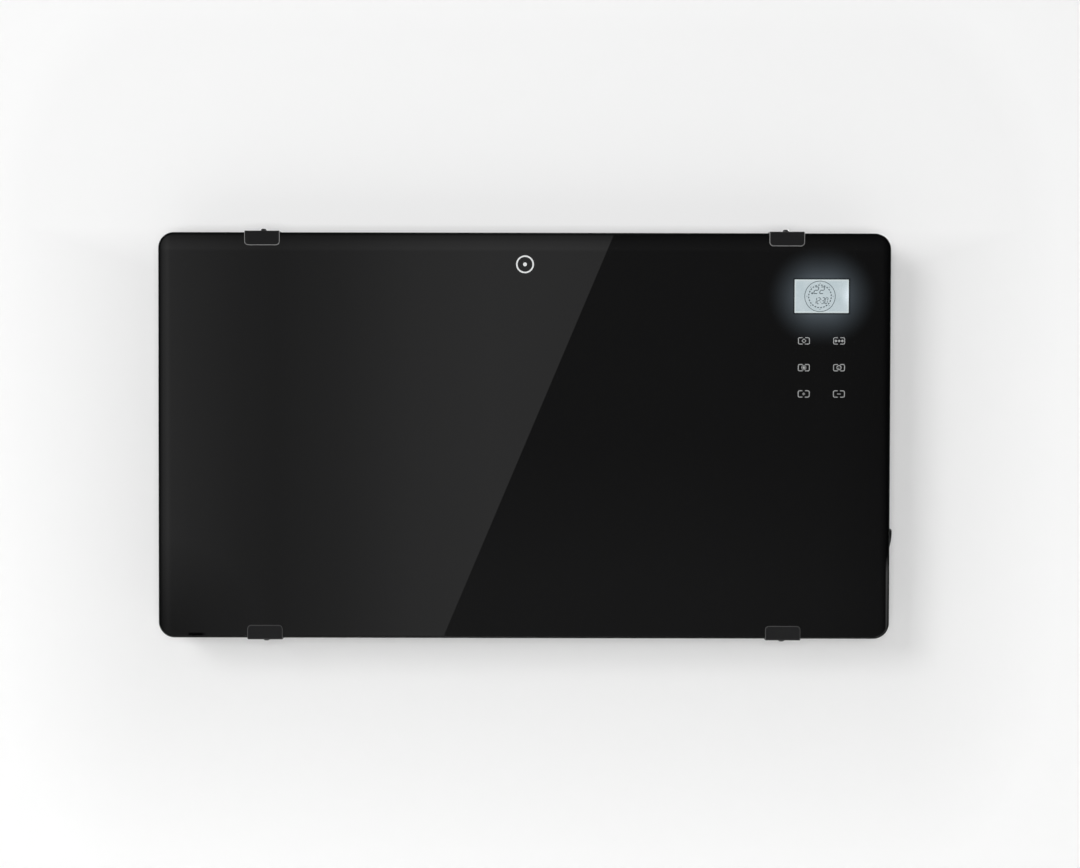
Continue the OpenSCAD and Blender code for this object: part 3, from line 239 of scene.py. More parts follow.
def box_distance(tree, x, z, width, height, stretch=(1.0, 0.0, 1.0)):
    """Distance of a point from a rectangle on the glass, both from the glass's middle, in metres."""
    value = place_on_object(tree, (1.0, 0.0, 1.0), (-x * MM, 0.0, -(GLASS_Z + z * MM)))
    for kind, other in (("ABSOLUTE", None), ("SUBTRACT", (width * MM / 2, 0.0, height * MM / 2)),
                        ("MAXIMUM", (0.0, 0.0, 0.0)), ("MULTIPLY", stretch), ("LENGTH", None)):
        made = add(tree, "VectorMath", operation=kind)
        tree.links.new(value, made.inputs[0])
        if other:
            made.inputs[1].default_value = other
        value = made.outputs["Value" if kind == "LENGTH" else "Vector"]
    return value


def painted_window_glow(tree):
    """A painted glow round the display window, standing for the backlight that leaks out there, with a dark
    line at the window's border.
    """
    lamp_w, reach = WINDOW_W - 50.0, 58.0
    fall, strength = 1.83, 0.185
    away = box_distance(tree, WINDOW_X, WINDOW_Z, lamp_w, 0.0)
    curve = combine(tree, "POWER", between(tree, away, 0.0, reach * MM, 1.0, 0.0), fall)
    border = box_distance(tree, WINDOW_X, WINDOW_Z, WINDOW_W, WINDOW_H)
    glow_dip_at_border = between(tree, border, 0.4 * MM, 2.2 * MM, 0.25, 1.0)
    return combine(tree, "MULTIPLY", combine(tree, "MULTIPLY", curve, glow_dip_at_border), strength)


def relief(tree, shader, height, strength, depth):
    """Bump on a shader's surface, from a pattern of heights."""
    made = add(tree, "Bump", {"Strength": strength, "Distance": depth})
    tree.links.new(height, made.inputs["Height"])
    tree.links.new(made.outputs["Normal"], shader.inputs["Normal"])


def mix_with_clear(tree, shader, share, colour=(1.0, 1.0, 1.0)):
    """Lets a share of the rays pass straight through, tinted, while the rest meet the shader."""
    through = add(tree, "BsdfTransparent", {"Color": (*colour, 1.0)})
    chosen = add(tree, "MixShader")
    tree.links.new(share, chosen.inputs[0])
    tree.links.new(shader.outputs[0], chosen.inputs[1])
    tree.links.new(through.outputs[0], chosen.inputs[2])
    tree.links.new(chosen.outputs[0], tree.nodes["Material Output"].inputs["Surface"])


def scaled_colour(colour, share):
    return tuple(min(1.0, part * share) for part in colour)


def surface(name, colour, rough, metal=0.0, grain=900.0, depth=0.03 * MM, spread=0.12, stretch=(1, 1, 1),
            strength=0.35, shine=0.5):
    """A finish with a fine grain in its relief, and slow drifts of colour and gloss."""
    material, tree, shader = shade_tree(name)
    shader.inputs["Metallic"].default_value = metal
    shader.inputs["Specular IOR Level"].default_value = shine
    here = place_on_object(tree, stretch)
    fine = noise(tree, here, grain, 3.0, 0.6)
    slow = noise(tree, here, 14.0, 3.0, 0.55)
    drift = between(tree, slow, 0.3, 0.7, 0.0, 1.0)
    darker, paler = scaled_colour(colour, 1 - spread), scaled_colour(colour, 1 + spread)
    tree.links.new(blend_colours(tree, drift, darker, paler), shader.inputs["Base Color"])
    tree.links.new(between(tree, slow, 0.3, 0.7, rough[0], rough[1]), shader.inputs["Roughness"])
    relief(tree, shader, fine, strength, depth)
    return material


def powder_coat(name, colour, shine=0.5):
    return surface(name, colour, (0.41, 0.47), grain=1400.0, depth=0.05 * MM, spread=0.04, shine=shine)


def moulded(name, colour, rough=(0.45, 0.56)):
    return surface(name, colour, rough, grain=2400.0, depth=0.04 * MM, spread=0.08, strength=0.5)


def glossy_moulding(name, colour):
    return surface(name, colour, (0.16, 0.26), grain=500.0, depth=0.01 * MM, spread=0.06, strength=0.2)


def soft_rubber(name, colour):
    return surface(name, colour, (0.7, 0.85), grain=1800.0, depth=0.05 * MM, spread=0.15, strength=0.6)


def bare_metal(name, colour, rough=(0.28, 0.42), stretch=(0.06, 1, 1)):
    """Metal with its grain drawn out along X, or as stretch says."""
    return surface(name, colour, rough, metal=1.0, grain=2200.0, depth=0.012 * MM, spread=0.1,
                   stretch=stretch, strength=0.4)


def zinc_plate(name, colour):
    """Zinc with its spangle of pale and dark crystals."""
    material, tree, shader = shade_tree(name)
    shader.inputs["Metallic"].default_value = 1.0
    here = place_on_object(tree)
    crystals = add(tree, "TexVoronoi", {"Scale": 160.0})
    tree.links.new(here, crystals.inputs["Vector"])
    shade = add(tree, "SeparateColor")
    tree.links.new(crystals.outputs["Color"], shade.inputs[0])
    darker, paler = scaled_colour(colour, 0.86), scaled_colour(colour, 1.12)
    tree.links.new(blend_colours(tree, shade.outputs[0], darker, paler), shader.inputs["Base Color"])
    tree.links.new(between(tree, shade.outputs[1], 0.0, 1.0, 0.3, 0.46), shader.inputs["Roughness"])
    relief(tree, shader, noise(tree, here, 1500.0), 0.3, 0.02 * MM)
    return material


def circuit_board(name, colour):
    """Solder mask over copper tracks that run at right angles."""
    material, tree, shader = shade_tree(name)
    shader.inputs["Roughness"].default_value = 0.32
    turned = add(tree, "Mapping")
    turned.inputs["Rotation"].default_value = (math.radians(90), 0.0, 0.0)
    tree.links.new(place_on_object(tree), turned.inputs["Vector"])
    tracks = add(tree, "TexBrick", {"Scale": 60.0, "Mortar Size": 0.06, "Brick Width": 0.9,
                                    "Row Height": 0.35})
    tree.links.new(turned.outputs[0], tracks.inputs["Vector"])
    tree.links.new(blend_colours(tree, tracks.outputs["Fac"], colour, scaled_colour(colour, 1.9)),
                   shader.inputs["Base Color"])
    relief(tree, shader, tracks.outputs["Fac"], 0.3, 0.04 * MM)
    return material


def clear_glass(name):
    """Toughened float glass. Light that only passes through on its way to a lamp isn't bent."""
    material, tree, shader = shade_tree(name)
    shader.inputs["Base Color"].default_value = (0.97, 0.985, 0.98, 1.0)
    shader.inputs["Transmission Weight"].default_value = 1.0
    shader.inputs["IOR"].default_value = 1.5
    shader.inputs["Roughness"].default_value = 0.0
    mix_with_clear(tree, shader, add(tree, "LightPath").outputs["Is Shadow Ray"], (0.9, 0.92, 0.91))
    return material


def enamel_look(tree, shader):
    """Gives a shader the black of the print, with a painted glow round the window that stands for the
    display's light leaking out.
    """
    slow = noise(tree, place_on_object(tree), 6.0, 4.0, 0.6)
    tree.links.new(blend_colours(tree, slow, (0.0008, 0.0008, 0.0009), (0.0016, 0.0016, 0.0018)),
                   shader.inputs["Base Color"])
    shader.inputs["Emission Color"].default_value = PAINTED_GLOW
    tree.links.new(painted_window_glow(tree), shader.inputs["Emission Strength"])


def backed_glass(name):
    """The same glass where the print lies against it: black, with the gloss of both its faces in one, and
    the painted glow round the window.
    """
    material, tree, shader = shade_tree(name)
    shader.inputs["IOR"].default_value = 1.754
    shader.inputs["Roughness"].default_value = 0.0
    enamel_look(tree, shader)
    return material


def fired_print(name):
    """The black enamel behind the glass, with the painted glow round the window."""
    material, tree, shader = shade_tree(name)
    shader.inputs["Roughness"].default_value = 0.4
    shader.inputs["Specular IOR Level"].default_value = 0.1
    enamel_look(tree, shader)
    return material


def ground_edge(name):
    """The satin rim of the glass, as dark as the print behind it."""
    return surface(name, (0.003, 0.0042, 0.0038), (0.24, 0.34), grain=3000.0, depth=0.004 * MM, strength=0.2,
                   shine=0.1)


def lit_display(name):
    """The display's own pale light, mottled, paler round its frame and by the lamp behind its right edge."""
    frame_w, lamp_reach = 2.1, 12.0
    lamp_x, lamp_z = WINDOW_X + WINDOW_W / 2 + 1.0, WINDOW_Z + 1.5
    material, tree, shader = shade_tree(name)
    shader.inputs["Base Color"].default_value = (0.05, 0.06, 0.065, 1.0)
    shader.inputs["Roughness"].default_value = 0.3
    away = add(tree, "VectorMath", operation="LENGTH")
    tree.links.new(place_on_object(tree, (1.0, 0.0, 0.62), (-lamp_x * MM, 0.0, -(GLASS_Z + lamp_z * MM))),
                   away.inputs[0])
    lamp = combine(tree, "POWER", between(tree, away.outputs["Value"], 0.0, lamp_reach * MM, 1.0, 0.0), 1.6)
    mottle = between(tree, noise(tree, place_on_object(tree), 90.0, 3.0, 0.6), 0.3, 0.7, 0.0, 1.0)
    ground = blend_colours(tree, mottle, (0.50, 0.573, 0.606), (0.56, 0.622, 0.655))
    inner = box_distance(tree, WINDOW_X, WINDOW_Z, WINDOW_W - 2 * frame_w, WINDOW_H - 2 * frame_w)
    framed = blend_colours(tree, between(tree, inner, 0.0, 0.5 * MM, 0.0, 1.0), ground, (0.63, 0.685, 0.70))
    tree.links.new(blend_colours(tree, lamp, framed, (0.86, 0.93, 1.0)), shader.inputs["Emission Color"])
    shader.inputs["Emission Strength"].default_value = 1.0
    return material


def display_ink(name):
    return surface(name, (0.11, 0.14, 0.16), (0.4, 0.5), grain=900.0, depth=0.005 * MM)


def print_ink(name, colour):
    return surface(name, colour, (0.45, 0.55), grain=1500.0, depth=0.01 * MM, spread=0.04)


def studio_paint(name, colour, near=None):
    """Pale matte paint, clear from its far side so that every view is open.

    Where near is given, the paint carries painted shade: it darkens to that colour close beside and below
    the heater, where the heater's shade falls, and less so just above it.
    """
    material, tree, shader = shade_tree(name)
    shader.inputs["Base Color"].default_value = (*colour, 1.0)
    if near:
        # Painted shade round the heater, fading out with distance from its outline
        reach_x, reach_z = 0.19, 0.27
        size = (glass_high - glass_low) / MM
        away = box_distance(tree, 0.0, 0.0, size.x, size.z, (1 / reach_x, 0.0, 1 / reach_z))
        share = between(tree, away, 0.0, 1.1, 0.0, 1.0)
        height = add(tree, "SeparateXYZ")
        tree.links.new(place_on_object(tree), height.inputs[0])
        above = between(tree, height.outputs["Z"], glass_high.z - 0.045, glass_high.z + 0.01, 0.0, 0.8)
        share = combine(tree, "MAXIMUM", share, above)
        tree.links.new(blend_colours(tree, share, near, colour), shader.inputs["Base Color"])
    mix_with_clear(tree, shader, add(tree, "NewGeometry").outputs["Backfacing"])
    return material


def card_paint(name, eye, ratio):
    """Light of the card that the glass mirrors: brighter on one side of a slanted line, soft at its borders,
    with a short strip low on the right and a small dark patch at the lower left.

    The card is ratio times as far in front of the glass as the camera, so each of its points is seen at one
    place on the glass, and the light is laid out in those places.
    """
    material, tree, shader = shade_tree(name)
    tree.nodes.remove(shader)
    scale = 1 / (1 + ratio)
    here = place_on_object(tree, (scale, 0.0, scale), (ratio * eye.x, 0.0, ratio * eye.z - GLASS_Z / scale))
    parts = add(tree, "SeparateXYZ")
    tree.links.new(here, parts.inputs[0])
    x, z = parts.outputs["X"], parts.outputs["Z"]

    run = Vector(LINE_RUN).normalized()
    across = add(tree, "VectorMath", operation="DOT_PRODUCT")
    across.inputs[1].default_value = (run.y, 0.0, -run.x)
    tree.links.new(here, across.inputs[0])
    start = LINE_FOOT[0] * run.y - LINE_FOOT[1] * run.x
    beyond = between(tree, across.outputs["Value"], start - 0.0003, start + 0.0003, 0.0, 1.0)

    corner = add(tree, "VectorMath", operation="DISTANCE")
    corner.inputs[1].default_value = (-0.415, 0.0, -0.230)
    tree.links.new(here, corner.inputs[0])
    bright = combine(tree, "MULTIPLY", levels(tree, x, BRIGHT_SIDE),
                     between(tree, corner.outputs["Value"], 0.02, 0.115, 0.5, 1.0))
    dim = combine(tree, "MULTIPLY", levels(tree, x, DIM_SIDE), between(tree, z, -0.01, -0.17, 1.0, 1.32))
    level = blend_colours(tree, beyond, bright, dim)
    for axis, stops in BORDERS:
        level = combine(tree, "MULTIPLY", level, levels(tree, parts.outputs[axis], stops))

    strip = combine(tree, "MULTIPLY", between(tree, x, 0.4106, 0.4114, 0.0, 1.0),
                    levels(tree, z, ((-0.215, 0.42), (-0.155, 0.62), (-0.136, 0.0))))
    level = combine(tree, "MAXIMUM", level, strip)
    patch = combine(tree, "MULTIPLY", levels(tree, z, ((-0.2249, 1.0), (-0.2240, 0.0))),
                    levels(tree, x, ((-0.3815, 0.0), (-0.3803, 1.0), (-0.3665, 1.0), (-0.3605, 0.0))))
    level = combine(tree, "MULTIPLY", level, combine(tree, "SUBTRACT", 1.0, patch))
    glow = add(tree, "Emission")
    tree.links.new(level, glow.inputs["Strength"])
    tree.links.new(glow.outputs[0], tree.nodes["Material Output"].inputs["Surface"])
    return material


# Mesh building

def new_piece(name, bm, material, body, turn=None, sharp=30.0):
    """Closes a mesh, gives it its material and sets it riding on its body."""
    if turn is not None:
        bmesh.ops.transform(bm, matrix=turn, verts=bm.verts)
    bmesh.ops.remove_doubles(bm, verts=bm.verts, dist=1e-6)
    if body:
        bmesh.ops.recalc_face_normals(bm, faces=bm.faces)
    mesh = bpy.data.meshes.new(name)
    bm.to_mesh(mesh)
    bm.free()
    mesh.shade_smooth()
    mesh.set_sharp_from_angle(angle=math.radians(sharp))
    mesh.materials.append(material)
    made = bpy.data.objects.new(name, mesh)
    bpy.context.scene.collection.objects.link(made)
    if body:
        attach(made, body)
    return made


def thicken(bm, height):
    """Raises every flat face of an outline by one height."""
    raised = bmesh.ops.extrude_face_region(bm, geom=bm.faces[:])
    verts = [part for part in raised["geom"] if isinstance(part, bmesh.types.BMVert)]
    bmesh.ops.translate(bm, vec=(0.0, 0.0, height), verts=verts)


def flat_bar(bm, x, z, width, height, turn=0.0, slant=0.0):
    """A flat rectangle about a place, turned by degrees or with its sides slanted."""
    made = bmesh.ops.create_grid(bm, x_segments=1, y_segments=1, size=0.5)["verts"]
    bmesh.ops.scale(bm, vec=(width, height, 1.0), verts=made)
    bmesh.ops.rotate(bm, matrix=Matrix.Rotation(math.radians(turn), 3, "Z"), verts=made)
    for vert in made:
        vert.co.x += slant * vert.co.y
    bmesh.ops.translate(bm, vec=(x, z, 0.0), verts=made)


def flat_arc(bm, x, z, radius, stroke, start=0.0, turn=360.0, steps=48):
    """Part of a ring, by spinning a short edge about its middle."""
    angle = math.radians(start)
    ends = [bm.verts.new((x + reach * math.cos(angle), z + reach * math.sin(angle), 0.0))
            for reach in (radius - stroke / 2, radius + stroke / 2)]
    edge = bm.edges.new(ends)
    full = turn == 360.0
    bmesh.ops.spin(bm, geom=[*ends, edge], cent=(x, z, 0.0), axis=(0.0, 0.0, 1.0), dvec=(0.0, 0.0, 0.0),
                   angle=math.radians(turn), steps=steps, use_merge=full, use_duplicate=False)


def flat_disc(bm, x, z, radius, steps=24):
    made = bmesh.ops.create_circle(bm, cap_ends=True, segments=steps, radius=radius)["verts"]
    bmesh.ops.translate(bm, vec=(x, z, 0.0), verts=made)


def rounded_face(bm, width, height, radius, steps):
    """A flat rectangle about the middle with round corners."""
    made = bmesh.ops.create_grid(bm, x_segments=1, y_segments=1, size=0.5)["verts"]
    bmesh.ops.scale(bm, vec=(width, height, 1.0), verts=made)
    bmesh.ops.bevel(bm, geom=made, offset=radius, offset_type="OFFSET", affect="VERTICES", segments=steps,
                    profile=0.5, material=-1, clamp_overlap=True)


def key_outline(x, z):
    """A rounded frame with a gap in the middle of its top and bottom."""
    bm = bmesh.new()
    rounded_face(bm, *KEY_SIZE, KEY_CORNER_R, 6)
    inner = bm.faces[:]
    bmesh.ops.inset_region(bm, faces=inner, thickness=KEY_STROKE, use_even_offset=True, use_boundary=True)
    bmesh.ops.delete(bm, geom=inner, context="FACES")
    for side in (-1, 1):
        bmesh.ops.bisect_plane(bm, geom=bm.verts[:] + bm.edges[:] + bm.faces[:], dist=1e-6,
                               plane_co=(side * KEY_GAP / 2, 0.0, 0.0), plane_no=(1.0, 0.0, 0.0))
    gap = [face for face in bm.faces if abs(face.calc_center_median().x) < KEY_GAP / 2]
    bmesh.ops.delete(bm, geom=gap, context="FACES")
    bmesh.ops.translate(bm, vec=(x, z, 0.0), verts=bm.verts)
    return bm


def key_symbol(bm, row, column, x, z):
    """On, more, warmth, clock, up and down, in the order of the keys."""
    if (row, column) == (0, 0):
        flat_arc(bm, x, z, 2.3, 1.0, steps=4)
    elif (row, column) == (0, 1):
        for shift in (-3.6, 0.0, 3.6):
            flat_disc(bm, x + shift, z, 1.35)
    elif (row, column) == (1, 0):
        flat_disc(bm, x, z, 1.5)
        flat_arc(bm, x, z, 2.5, 0.6, steps=24)
    elif (row, column) == (1, 1):
        flat_arc(bm, x, z, 2.4, 0.9, steps=24)
        flat_bar(bm, x - 0.5, z - 0.7, 1.8, 0.7, 35.0)
    elif (row, column) == (2, 0):
        flat_bar(bm, x, z, 3.0, 1.1)
        flat_bar(bm, x, z, 1.1, 3.0)
    else:
        flat_bar(bm, x, z, 4.0, 0.8)


def merge_into(target, source):
    """Adds one bmesh to another."""
    spare = bpy.data.meshes.new("spare")
    source.to_mesh(spare)
    source.free()
    target.from_mesh(spare)
    bpy.data.meshes.remove(spare)


def on_glass(depth):
    """Turns a flat drawing in millimetres to face the room, depth metres from the wall's plane."""
    return Matrix.Translation((0.0, depth, GLASS_Z)) @ FRONT @ Matrix.Scale(MM, 4)


def printed_marks(ink, key_ink):
    """The marks of the keys and the ring near the top, printed on the front of the glass."""
    ink_back = GLASS_FRONT - 0.01 * MM
    bm = bmesh.new()
    for row, z in enumerate(KEY_ROWS):
        for column, x in enumerate(KEY_COLUMNS):
            merge_into(bm, key_outline(x, z))
            key_symbol(bm, row, column, x, z)
    thicken(bm, GLASS_INK)
    keys = new_piece("key_marks", bm, key_ink, "heater", on_glass(ink_back))

    bm = bmesh.new()
    flat_arc(bm, *RING_PLACE, RING_R, RING_STROKE, steps=64)
    flat_disc(bm, *RING_PLACE, RING_DOT_R, 32)
    thicken(bm, GLASS_INK)
    ring = new_piece("ring_mark", bm, ink, "heater", on_glass(ink_back))


# The bars that make up each figure, named clockwise from the top, with g across the middle
SEGMENTS = {"0": "abcdef", "1": "bc", "2": "abdeg", "3": "abcdg"}


def digit(bm, figure, x, z, width, height, stroke):
    """A seven-bar figure that leans a little, its middle at x, z. Its bars stop short of each other."""
    lean = 0.22
    half_w, half_h = (width - stroke) / 2, (height - stroke) / 2
    bars = {
        "a": (0.0, half_h, True), "d": (0.0, -half_h, True), "g": (0.0, 0.0, True),
        "b": (half_w, half_h / 2, False), "c": (half_w, -half_h / 2, False),
        "f": (-half_w, half_h / 2, False), "e": (-half_w, -half_h / 2, False),
    }
    for key in SEGMENTS[figure]:
        along, up, level = bars[key]
        size = (width - 1.6 * stroke, stroke) if level else (stroke, half_h - 0.7 * stroke)
        flat_bar(bm, x + along + lean * up, z + up, *size, slant=0.0 if level else lean)


def display_dial(ink):
    """Day dial with its dashes and dots, the room's warmth and the time."""
    rim_r, dash_r, dot_r = 17.3, 12.8, 14.8
    dashes, dash_angle, dots = 24, 8.5, 8
    bm = bmesh.new()
    x, z = DIAL_PLACE
    flat_arc(bm, x, z, rim_r, 0.7, steps=72)
    for i in range(dashes):
        flat_arc(bm, x, z, dash_r, 1.2, 360 / dashes * i + 1.5, dash_angle, 4)
    for i in range(dots):
        turn = math.radians(360 / dots * i)
        flat_disc(bm, x + dot_r * math.cos(turn), z + dot_r * math.sin(turn), 0.5, 10)

    for shift in (-4.2, 2.4):
        digit(bm, "2", x + shift, z + 6.9, 5.2, 8.4, 0.9)
    flat_disc(bm, x - 8.8, z + 3.4, 1.1, 12)

    time_x, time_z = x + 0.9, z - 4.9
    for figure, shift in (("1", -6.3), ("2", -2.5), ("3", 2.6), ("0", 6.4)):
        digit(bm, figure, time_x + shift, time_z, 3.3, 7.6, 0.75)
    for up in (-1.6, 1.6):
        flat_disc(bm, time_x + 0.2 * up, time_z + up, 0.5, 10)
    thicken(bm, DISPLAY_INK)
    piece = new_piece("display_dial", bm, ink, "heater", on_glass(lcd_front))


def front_glass(clear, rim, backed):
    """The glass panel with its corners rounded and its edges ground to a soft round.

    It is clear over the display and backed by the print everywhere else.
    """
    corner_r, ground_w, flat_margin, window_margin = 18.0, 1.9, 0.6, 2.0
    width = (glass_high.x - glass_low.x) / MM
    height = (glass_high.z - glass_low.z) / MM
    thick = (glass_high.y - glass_low.y) / MM - AIR
    bm = bmesh.new()
    rounded_face(bm, width, height, corner_r, 24)
    thicken(bm, thick)
    bm.normal_update()
    edges = [line for line in bm.edges if abs(line.verts[0].co.z - line.verts[1].co.z) < 0.01]
    bmesh.ops.bevel(bm, geom=edges, offset=ground_w, offset_type="OFFSET", affect="EDGES", segments=8,
                    profile=0.5, material=-1, clamp_overlap=True)
    flats = [face for face in bm.faces if face.calc_area() > 0.5 * width * height]
    bmesh.ops.inset_individual(bm, faces=flats, thickness=flat_margin, use_even_offset=True)

    x, z = WINDOW_X, WINDOW_Z
    wide, high = WINDOW_W / 2 + window_margin, WINDOW_H / 2 + window_margin
    for place, normal in (((x - wide, z, 0.0), (1.0, 0.0, 0.0)), ((x + wide, z, 0.0), (1.0, 0.0, 0.0)),
                          ((x, z - high, 0.0), (0.0, 1.0, 0.0)), ((x, z + high, 0.0), (0.0, 1.0, 0.0))):
        bmesh.ops.bisect_plane(bm, geom=bm.verts[:] + bm.edges[:] + bm.faces[:], dist=1e-5, plane_co=place,
                               plane_no=normal)
    bm.normal_update()
    for face in bm.faces:
        here = face.calc_center_median()
        in_window = abs(here.x - x) < wide and abs(here.y - z) < high
        on_rim = abs(face.normal.z) < 0.97
        if on_rim:
            face.material_index = 1
        elif not in_window:
            face.material_index = 2
    piece = new_piece("front_glass", bm, clear, "heater", on_glass(glass_high.y - AIR * MM), 35.0)
    piece.data.materials.append(rim)
    piece.data.materials.append(backed)
    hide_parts("glass_panel")


def dressed(node, name, material, bevel, highlight_finish, segments):
    """A copy of a CAD node with its edges eased, riding where the node rides.

    A bevel of 0 leaves the edges sharp. Where the fifth argument isn't None, it is the finish of the eased
    edges: a painted highlight.
    """
    sharp = 32.0
    source = frame["nodes"][node]
    bm = bmesh.new()
    bm.from_mesh(source.data)
    bmesh.ops.remove_doubles(bm, verts=bm.verts, dist=2e-6)
    bmesh.ops.dissolve_limit(bm, angle_limit=math.radians(0.6), verts=bm.verts, edges=bm.edges)
    made = new_piece(name, bm, material, source["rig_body"], None, sharp)
    if bevel:
        eased = made.modifiers.new("eased_edges", "BEVEL")
        eased.width = bevel
        eased.segments = segments
        eased.use_clamp_overlap = False
        eased.limit_method = "ANGLE"
        eased.angle_limit = math.radians(sharp)
        # Where given, the eased edges get a painted highlight as their finish
        if highlight_finish:
            made.data.materials.append(highlight_finish)
            eased.material = 1
    level = made.modifiers.new("flat_faces", "WEIGHTED_NORMAL")
    level.keep_sharp = True
    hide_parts(node)


def cross_head(radius, height):
    """A domed screw head with a cross recess, its seat on z = 0."""
    bm = bmesh.new()
    profile = [(0.0, height), (radius * 0.45, height * 0.95), (radius * 0.78, height * 0.78),
               (radius * 0.95, height * 0.5), (radius, height * 0.2), (radius, 0.0), (0.0, 0.0)]
    verts = [bm.verts.new((reach, 0.0, up)) for reach, up in profile]
    edges = [bm.edges.new(pair) for pair in zip(verts, verts[1:])]
    bmesh.ops.spin(bm, geom=verts + edges, cent=(0.0, 0.0, 0.0), axis=(0.0, 0.0, 1.0), dvec=(0.0, 0.0, 0.0),
                   angle=math.radians(360), steps=40, use_merge=True, use_duplicate=False)
    bmesh.ops.remove_doubles(bm, verts=bm.verts, dist=1e-6)
    bmesh.ops.recalc_face_normals(bm, faces=bm.faces)
    head = bpy.data.meshes.new("head")
    bm.to_mesh(head)
    bm.free()
    slot_size = (radius * 1.15, radius * 0.26, height * 1.1)
    cutter = bmesh.new()
    for turn in (0.0, 90.0):
        made = bmesh.ops.create_cube(cutter, size=1.0)["verts"]
        bmesh.ops.scale(cutter, vec=slot_size, verts=made)
        bmesh.ops.rotate(cutter, matrix=Matrix.Rotation(math.radians(turn), 3, "Z"), verts=made)
        bmesh.ops.translate(cutter, vec=(0.0, 0.0, height), verts=made)
    cross = bpy.data.meshes.new("cross")
    cutter.to_mesh(cross)
    cutter.free()
    head_piece = bpy.data.objects.new("head", head)
    cross_piece = bpy.data.objects.new("cross", cross)
    for piece in (head_piece, cross_piece):
        bpy.context.scene.collection.objects.link(piece)
    cut = head_piece.modifiers.new("cut", "BOOLEAN")
    cut.object = cross_piece
    cut.operation = "DIFFERENCE"
    cut.solver = "EXACT"
    cut.use_self = True
    bpy.context.view_layer.update()
    result = bpy.data.meshes.new_from_object(head_piece.evaluated_get(bpy.context.evaluated_depsgraph_get()))
    for piece in (head_piece, cross_piece):
        bpy.data.objects.remove(piece)
    return result


def screws(name, node, places, size, slot):
    """One piece of all the screws of a kind, each turned by another angle.

    A place is (x, y, z, direction that the head faces), and the size is like CLIP_SCREW.
    """
    radius, height, shank, length = [value * MM for value in size]
    head = cross_head(radius, height)
    bm = bmesh.new()
    for i, (x, y, z, faces) in enumerate(places):
        one = bmesh.new()
        one.from_mesh(head)
        made = bmesh.ops.create_cone(one, cap_ends=True, segments=20, radius1=shank * 0.7, radius2=shank,
                                     depth=length)["verts"]
        bmesh.ops.translate(one, vec=(0.0, 0.0, -length / 2), verts=made)
        spin = Matrix.Rotation(math.radians(17 + 41 * i), 4, "Z")
        aim = Vector(faces).to_track_quat("Z", "Y").to_matrix().to_4x4()
        bmesh.ops.transform(one, matrix=Matrix.Translation((x, y, z)) @ aim @ spin, verts=one.verts)
        merge_into(bm, one)
    bpy.data.meshes.remove(head)
    piece = new_piece(name, bm, FINISHES[slot], frame["nodes"][node]["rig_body"], None, 35.0)
    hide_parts(node)


def clip_screw_places():
    """The seats of the clip screws, on top of the upper clips and under the lower ones."""
    low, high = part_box("clip_screws")
    y = (low.y + high.y) / 2
    places = []
    for name in ("glass_clip_top_left", "glass_clip_top_right"):
        near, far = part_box(name)
        places.append(((near.x + far.x) / 2, y, far.z, (0.0, 0.0, 1.0)))
    for name in ("glass_clip_bottom_left", "glass_clip_bottom_right"):
        near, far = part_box(name)
        places.append(((near.x + far.x) / 2, y, near.z, (0.0, 0.0, -1.0)))
    return places


def cap_screw_places():
    """The seats of the cap screws, near the four corners of the casing's back."""
    low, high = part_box("cap_screws")
    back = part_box("rear_shell")[1].y
    radius = CAP_SCREW[0] * MM
    return [(x, back, z, (0.0, 1.0, 0.0))
            for x in (low.x + radius, high.x - radius) for z in (low.z + radius, high.z - radius)]


def rocker_marks(ink):
    """The bar and ring of a mains rocker, printed on the two ends of its curved face."""
    rest_tilt, face_lean = 8.0, 6.0
    face_out, mark_up = 5.61 * MM, 6.3 * MM
    low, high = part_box("power_switch")
    pivot = Vector((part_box("side_cap_right")[1].x, (low.y + high.y) / 2, (low.z + high.z) / 2))
    tip = Matrix.Rotation(math.radians(rest_tilt), 4, "Y")
    face_right = Matrix.Rotation(math.radians(90), 4, "Z") @ FRONT
    for name, side in (("rocker_bar", 1), ("rocker_ring", -1)):
        bm = bmesh.new()
        if side > 0:
            flat_bar(bm, 0.0, 0.0, 0.9, 4.4)
        else:
            flat_arc(bm, 0.0, 0.0, 2.0, 0.8, steps=32)
        thicken(bm, ROCKER_INK)
        out = Matrix.Translation((face_out, 0.0, side * mark_up))
        lean = Matrix.Rotation(math.radians(-side * face_lean), 4, "Y")
        turn = Matrix.Translation(pivot) @ tip @ out @ lean @ face_right @ Matrix.Scale(MM, 4)
        piece = new_piece(name, bm, ink, "power_rocker", turn)


# Stage and light

def flat_stage(name, width, height, material, place, turn):
    bm = bmesh.new()
    flat_bar(bm, 0.0, 0.0, width, height)
    made = new_piece(name, bm, material, None, Matrix.Translation(place) @ turn)
    made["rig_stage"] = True


def soft_light(name, place, size, power):
    """A square lamp that aims at the middle of the glass and isn't seen itself."""
    lamp_data = bpy.data.lights.new(name, "AREA")
    lamp_data.shape = "SQUARE"
    lamp_data.size = size
    lamp_data.energy = power
    lamp = bpy.data.objects.new(name, lamp_data)
    lamp.location = place
    aim = Vector((0.0, 0.0, GLASS_Z))
    lamp.rotation_euler = (aim - Vector(place)).to_track_quat("-Z", "Y").to_euler()
    lamp.visible_camera = False
    bpy.context.scene.collection.objects.link(lamp)
    return lamp


